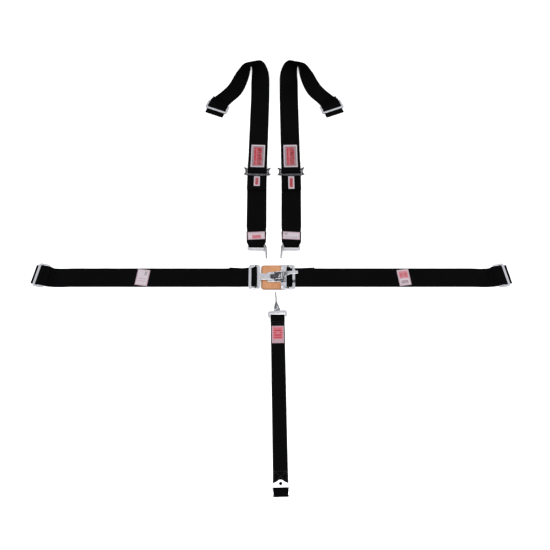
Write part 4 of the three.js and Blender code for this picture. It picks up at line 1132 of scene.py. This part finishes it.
def adjuster_wrap():
    """Upper webbing at the adjuster: pull tail, up through the window and over the bar and the upper rim."""
    up = -ADJUSTER_BAR["radius"] - 1.5 - CLOTH / 2
    over, beyond = upper_crest()
    tail = [(-PULL_TAIL, layer(2)), (up, layer(2))]
    return rounded(tail + [(up, over), (beyond, over), (DOWN_TO_FLOOR, layer(0))])


def rim_loop():
    """Lower webbing's loop round the adjuster's upper rim, from its sewn-down end."""
    inner = ADJUSTER["window"] / 2 - 0.6 - CLOTH / 2
    outer = ADJUSTER["window"] / 2 + ADJUSTER["upper"] + REST + 0.5 + CLOTH / 2
    over = ADJUSTER_Z + PLATE + REST + CLOTH / 2
    return rounded([
        (-RIM_TAIL, layer(1)), (inner, layer(1)), (inner, over),
        (outer, over), (outer, layer(0)), (-40, layer(0)),
    ])


def link_loop(link):
    """Loop round a link's bar: u runs outwards and the webbing turns at the origin."""
    turn = -LOOP_TURN
    over = LAYER + PLATE + REST + CLOTH / 2
    inner = -link["bar"] - link["slack"]
    return rounded([
        (-90, layer(0)), (turn, layer(0)), (turn, over),
        (inner - 4, over), (inner - 15, layer(1)), (-link["tail"], layer(1)),
    ])


# Where the upper webbing turns back on itself: it tips up on one edge, swings round and lies down again.
# Each row is (out, y, z) of the edge that lifts, then of the edge that stays down.
TURN = np.array([
    (-38.1, 800, 0.9, 38.1, 800, 0.9),
    (-38.1, 850, 2, 38.1, 850, 0.9),
    (-38.1, 880, 8, 38.1, 880, 0.9),
    (-36.1, 907, 24, 36.6, 912, 1),
    (-29.5, 925, 41, 36, 932, 1),
    (-19.2, 941, 53, 35.5, 952, 1),
    (-8.5, 947, 61, 36, 961, 1),
    (3.8, 948, 65, 38, 966, 1.5),
    (29.7, 938, 72, 40, 966, 2),
    (56.2, 932, 70, 41.5, 958, 1.5),
    (70.7, 925, 67, 43, 948, 1),
    (87.6, 906, 58, 46, 928, 1),
    (102.2, 884, 52, 52, 900, 1),
    (116.6, 855, 50, 61, 867, 1),
    (132.5, 829, 47, 74, 836, 1),
    (153.2, 810, 40, 90, 812, 1),
    (178.8, 795, 28, 110, 791, 1),
    (191.7, 789, 15, 122, 780, 1),
])


def turned_back(turn_at, side):
    """Stations between the two edges of the turn, with the lower edge kept off the floor."""
    edges = [TURN[:, 3 * k:3 * k + 3] * [-side, 1, 1] + [turn_at, 0, 0] for k in (0, 1)]
    a, b = (through(edge, 8) for edge in edges)
    across = (a - b) / np.linalg.norm(a - b, axis=1)[:, None]
    points = (a + b) / 2
    points[:, 2] = np.maximum(points[:, 2], (np.abs(across[:, 2]) * WIDE + CLOTH) / 2)
    return points, side * across


def heading(start, end):
    """Direction in degrees from one point to another."""
    return math.degrees(math.atan2(end[1] - start[1], end[0] - start[0]))


def main_label_path():
    """The main label's line, parallel to the upper webbing where it comes down from the rim to the floor."""
    lift = ON_CLOTH - CLOTH / 2 + LABEL / 2
    over, beyond = upper_crest()
    shift = lift * math.tan(math.atan2(over - layer(0), DOWN_TO_FLOOR - beyond) / 2)
    start = MAIN_LABEL["start"]
    return rounded([
        (start, over + lift), (beyond + shift, over + lift),
        (DOWN_TO_FLOOR + shift, layer(0) + lift), (start + MAIN_LABEL["length"], layer(0) + lift),
    ])


MAIN_PATCHES = [
    ((-0.97, 0.97), (-0.95, 0.95), INK, (0.0042, 1.0)),
    ((-0.82, 0.82), (-0.56, 0.56), RED, None),
    ((-0.78, 0.78), (-0.3, -0.12), PINK, (0.009, 0.0)),
    ((-0.78, 0.78), (0.0, 0.42), DEEP_RED, (0.012, 0.0)),
]
PULL_PATCHES = [
    ((-0.75, 0.7), (-0.5, 0.5), RED, None),
    ((-0.6, 0.55), (-0.25, 0.25), DEEP_RED, (0.0042, 0.0)),
]
LOW_PATCHES = {
    "left": [
        ((-0.8, 0.2), (-0.5, 0.55), PINK, None),
        ((-0.6, 0.0), (-0.35, 0.4), RED, (0.005, 0.0)),
        ((0.35, 0.8), (-0.75, 0.75), PALE, (0.003, 0.0)),
    ],
    "right": [
        ((0.15, 0.7), (-0.8, -0.45), INK, (0.003, 0.0)),
        ((-0.5, -0.3), (-0.7, 0.7), INK, (0.001, 0.0)),
    ],
}


def upper_strap(name, side, adjuster, turn_at, slide, pull_length):
    """Upper webbing with its main label and the label on its pull tail."""
    body = name + "_shoulder"
    beyond = follow(slide, slide_wrap(SHOULDER_BIGHT), side=-1)
    stations = joined(follow(adjuster, adjuster_wrap()), turned_back(turn_at, side), (beyond[0], -beyond[1]))
    shell, length = strap(*stations, WIDE, seed=3 + side, ripple=0.2)
    cloth = make(f"{name}_upper_strap", [shell], WIDE_WEBBING, body, [f"{body}_upper_webbing"])
    size = (MAIN_LABEL["length"], MAIN_LABEL["width"])
    middle = MAIN_LABEL["start"] + size[0] / 2
    colours, path = (PALE, WHITE), main_label_path()
    parts = label(f"{body}_main_label", adjuster, middle, size, 0, body, colours, MAIN_PATCHES, path)
    size = (pull_length, PULL_LABEL["width"])
    middle = -PULL_LABEL["start"] - pull_length / 2
    on_tail = ON_CLOTH + 2 * LAYER
    parts += label(f"{body}_pull_label", adjuster, middle, size, on_tail, body, colours, PULL_PATCHES)
    length / 1000


def lower_strap(name, side, adjuster, bottom):
    """Lower webbing with its label and seams. It narrows into its link."""
    body = name + "_shoulder"
    path = link_loop(SHOULDER_LINK)
    around = rim_loop()
    narrowed = SHOULDER_LINK["width"] - 2 * SHOULDER_LINK["rail"] - 3
    share = np.clip((path[:, 0] + 26) / 20, 0, 1)  # narrows from 26 to 6 before its turn
    widths = np.concatenate([np.full(len(around), WIDE), WIDE + (narrowed - WIDE) * share])
    shell, length = strap(
        *joined(follow(adjuster, around), follow(bottom, path, side=-1)), widths, seed=7 + side, ripple=0.15
    )
    cloth = make(f"{name}_lower_strap", [shell], WIDE_WEBBING, None, [f"{body}_lower_webbing"])
    bend = bottom.points(SHOULDER_BEND, 0.0, LAYER + PLATE / 2) + ORIGIN
    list((bend / 1000).tolist())
    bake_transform(cloth)
    x, y, _ = bottom.moved(LOW_LABEL["middle"]).origin
    place = Place(x, y, bottom.heading + LOW_LABEL["turn"] * side)
    size = (LOW_LABEL["length"], WIDE_LABEL)
    colours = (WHITE, PALE)
    parts = label(f"{body}_low_label", place, 0, size, ON_CLOTH + LAYER, body, colours, LOW_PATCHES[name])
    seam = frame_of_stitches(bottom, *LINK_SEAM, LAYER + ON_SEAM)
    seam += frame_of_stitches(adjuster, *RIM_SEAM, LAYER + ON_SEAM, cross=True)
    parts.append(make(f"{name}_lower_stitches", seam, BLACK_THREAD, body))
    length / 1000


def shoulder_hardware(name, side, adjuster, bottom, slide):
    """Adjuster frame and its bar, end slide, and link with its arm."""
    body, link = name + "_shoulder", name + "_link"
    frame_shell = adjuster.put(shoulder_adjuster())
    make(f"{name}_adjuster_frame", [frame_shell], DARK_STEEL, body, [f"{body}_adjuster"])
    z = ADJUSTER_Z + PLATE / 2
    bar = floating_bar(z, ADJUSTER_BAR["radius"], ADJUSTER_BAR["middle"], ADJUSTER_BAR["reach"])
    grip, node = [adjuster.put(shell) for shell in bar], f"{name}_adjuster_bar"
    make(f"{name}_adjuster_gripper", grip, DARK_STEEL, node, [node])
    slide_shell = slide.put(three_bar_slide())
    make(f"{name}_shoulder_slide", [slide_shell], CHROME, body, [f"{body}_end_slide"])
    outwards = Place(*bottom.origin[:2], bottom.heading + 180)
    plates, arms = ([outwards.put(shell) for shell in shells] for shells in shoulder_link(side))
    make(f"{name}_link_plate", plates, CHROME, link, [f"{body}_link"])
    # The arm is chrome, painted darker for its dark reflection.
    make(f"{name}_link_arm", arms, CHROME_PAINTED_DARK, link)


for name, side, bottom_x, adjuster_x, turn_at, pull_length in (
    ("left", 1, -71.0, -70.0, -61.0, 43),
    ("right", -1, 62.0, 63.0, 57.0, 56),
):
    low, middle = (bottom_x, SHOULDER_END_Y), (adjuster_x, ADJUSTER_Y)
    adjuster = Place(*middle, heading(middle, (turn_at, TURN_Y)))
    bottom = Place(*low, heading(low, middle))
    slide_x = turn_at - side * SHOULDER_SLIDE["out"]
    slide = slide_at(slide_x, SHOULDER_SLIDE["y"], 90 - side * SHOULDER_SLIDE["turn"])
    upper_strap(name, side, adjuster, turn_at, slide, pull_length)
    lower_strap(name, side, adjuster, bottom)
    shoulder_hardware(name, side, adjuster, bottom, slide)


# ---------------------------------------------------------------- crotch strap
TOP = Place(*CROTCH_TOP, 90 + CROTCH_LEAN)
FOOT = TOP.moved(-CROTCH_FALL / math.cos(math.radians(CROTCH_LEAN)))


def crotch_link():
    """Flat frame whose tongue twists a quarter turn, so that it stands on edge."""
    outer, frame_plate = link_frame(CROTCH_LINK)
    twist, reach, base, edge, tip, _ = CROTCH_TONGUE.values()
    u = np.linspace(0, twist, 40)
    share = (u / twist) ** 2 * (3 - 2 * u / twist)
    angle = share * np.pi / 2
    width = base + (edge - base) * share
    z = np.maximum(LAYER + PLATE / 2, (np.sin(angle) * width + np.cos(angle) * PLATE) / 2 + REST)
    start = outer - 1.5
    line = np.column_stack([start + u, 0 * u, z])
    across = np.column_stack([0 * u, np.cos(angle), np.sin(angle)])
    neck, _ = strap(line, across, width, PLATE, columns=14)
    near, far, top = start + twist - 0.2, start + reach, REST + tip
    outline = np.vstack([
        [[near, REST]],
        bent((far - 3, REST), (far, REST), (far, REST + 3)),
        bent((far, top - 3), (far, top), (far - 3, top)),
        [[near, REST + edge]],
    ])
    hook = tip_slot(far - TIP_SLOT["inset"], REST + tip / 2)
    blade = wall([outline, hook], -PLATE / 2, PLATE / 2, 0.9)
    return [frame_plate], [neck[:2], blade]


def anchor_plate():
    """Plate lying folded back: a long slot for the webbing, a waist and a round nose with the bolt hole."""
    start = REST + CLOTH
    middle = start + ANCHOR["bar"] + ANCHOR["slot"] / 2
    lobe = middle + 4
    hole_up, apex_up, radius = ANCHOR_NOSE.values()
    w = ANCHOR["width"] / 2
    side = np.vstack([
        [[start, ANCHOR["slot_width"] / 2 - 6]],
        bent((start + 9, w - 5), (lobe, w + 3), (lobe + 12, w - 7), 14),
        arc(hole_up, 0, apex_up - hole_up, 56, 0, 16),
    ])
    outline = softened(mirrored(side), 2.5)
    slot = rounded_rectangle(middle, 0, ANCHOR["slot"], ANCHOR["slot_width"], 3)
    hole = arc(hole_up, 0, radius, 0, 350, 35)
    return stamped([outline, slot, hole], BASE_Z, BASE_Z + PLATE, 0.9)


def anchor_loop():
    """Loop round the anchor plate's bar: out under it, back over it and down through the slot."""
    turn = CLOTH / 2
    over = BASE_Z + PLATE + REST + CLOTH / 2
    down = CLOTH + REST + ANCHOR["bar"] + 1.2 + CLOTH / 2
    return rounded([
        (-90, layer(0)), (-turn, layer(0)), (-turn, over),
        (-down, over), (-down, layer(1)), (-down - ANCHOR["tail"], layer(1)),
    ])


def crotch_top(meeting):
    """Webbing from its link to the meeting point, with the label and a seam. Returns its length."""
    loop = link_loop(CROTCH_LINK)
    loop[0] = meeting[0]
    shell, length = strap(*follow(TOP, loop[::-1]), NARROW, columns=20)
    cloth = make("crotch_strap_top", [shell], NARROW_WEBBING, None, [])
    bend = (TOP.points(CROTCH_BEND, 0.0, LAYER + PLATE / 2) + ORIGIN) / 1000
    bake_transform(cloth)
    size = (CROTCH_LABEL["length"], NARROW_LABEL)
    colours = (PINK, PALE)
    parts = label("crotch_label", TOP, CROTCH_LABEL["middle"], size, ON_CLOTH, "crotch", colours, [
        ((-0.9, -0.55), (-0.85, 0.85), PALE, None),
        ((-0.4, 0.7), (-0.62, 0.62), RED, (0.009, 0.0)),
        ((0.0, 0.35), (-0.3, 0.3), PINK, None),
    ])
    seam = frame_of_stitches(TOP, *CROTCH_SEAM, LAYER + ON_SEAM)
    parts.append(make("crotch_top_stitches", seam, BLACK_THREAD, "crotch"))
    length / 1000
    return length


def crotch_foot(meeting, start):
    """Webbing from the meeting point to the anchor plate, with its crossed seam."""
    stations = joined(follow(TOP, meeting), follow(FOOT, anchor_loop(), side=-1))
    shell, length = strap(*stations, NARROW, ripple=0.25, seed=12, columns=20, start=start)
    cloth = make("crotch_strap", [shell], NARROW_WEBBING, None, ["crotch_webbing"])
    bend = (FOOT.points(ANCHOR_BEND, 0.0, BASE_Z + PLATE / 2) + ORIGIN) / 1000
    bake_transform(cloth)
    seam = frame_of_stitches(FOOT, *ANCHOR_SEAM, LAYER + ON_SEAM, cross=True)
    parts = [make("crotch_foot_stitches", seam, BLACK_THREAD, "crotch")]
    length / 1000


meeting = np.array([[CROTCH_LABEL["middle"], layer(0)]])
crotch_foot(meeting, crotch_top(meeting))
tongue_side = Place(*CROTCH_TOP, TOP.heading + CROTCH_TONGUE["turn"])
plates, tongue = ([tongue_side.put(shell) for shell in shells] for shells in crotch_link())
make("crotch_link_plate", plates, CHROME, "crotch_link", ["crotch_link"])
# The tongue is chrome, painted darker for its dark reflection.
make("crotch_link_tongue", tongue, CHROME_PAINTED_DARK, "crotch_link")
make("floor_anchor", [FOOT.put(anchor_plate())], CHROME, "anchor", ["anchor_plate"])


# ---------------------------------------------------------------- floor, light and camera
def floor_material():
    """Pale matt floor with the faintest clouds."""
    m = new_material("pale_floor", Specular_IOR_Level=0.1)
    cloud = m.noise(m.object_place(), 3.0, 4.0)
    return m.finish(
        Base_Color=m.mix(cloud, (0.86, 0.86, 0.86, 1), (0.9, 0.9, 0.9, 1)),
        Roughness=0.85 + 0.1 * cloud,
    )


bpy.ops.mesh.primitive_grid_add(x_subdivisions=4, y_subdivisions=4, size=14)
floor = bpy.context.object
floor.name = "floor"
floor.data.materials.append(floor_material())


def softbox(name, place, target, size, power):
    """A rectangular soft light that looks at a target."""
    lamp = bpy.data.lights.new(name, "AREA")
    lamp.shape = "RECTANGLE"
    lamp.size, lamp.size_y = size
    lamp.energy = power
    holder = bpy.data.objects.new(name, lamp)
    holder.location = place
    holder.rotation_euler = (Vector(target) - Vector(place)).to_track_quat("-Z", "Y").to_euler()
    bpy.context.scene.collection.objects.link(holder)


softbox("overhead", (0.0, -0.6, 3.6), (0, -0.1, 0), (4.4, 2.0), 125)
softbox("left_side", (-3.2, -0.4, 1.9), (0, 0, 0), (1.6, 2.6), 62)
softbox("right_side", (3.2, -0.2, 1.9), (0, 0, 0), (1.6, 2.6), 48)
softbox("low_back", (0.4, 3.6, 1.1), (0, 0, 0), (3.2, 0.8), 30)

def studio():
    """Surroundings that are bright overhead and dimmer towards the horizon."""
    world = bpy.data.worlds.new("studio")
    bpy.context.scene.world = world
    w = Nodes(world, "Background", Color=(0.97, 0.98, 1.0, 1))
    up = w.split(w.direction())[2]
    rise = {"Value": up, "From Min": 0.25, "From Max": 0.75, "To Min": 0.4, "To Max": 1.0}
    w.finish(Strength=w.node("ShaderNodeMapRange", {"interpolation_type": "SMOOTHSTEP"}, rise))


def camera():
    """Looks down at the buckle from the foot of the harness."""
    lens = bpy.data.cameras.new("camera")
    lens.sensor_width = 36
    lens.lens = 54.785
    lens.clip_end = 50
    holder = bpy.data.objects.new("camera", lens)
    bpy.context.scene.collection.objects.link(holder)
    elevation, distance = math.radians(65), 3.114
    forward = Vector((0, math.cos(elevation), -math.sin(elevation)))
    holder.location = Vector((ORIGIN / 1000).tolist()) - forward * distance
    holder.rotation_euler = forward.to_track_quat("-Z", "Y").to_euler()
    bpy.context.scene.camera = holder


bpy.context.scene.view_settings.view_transform = "Standard"
studio()
camera()
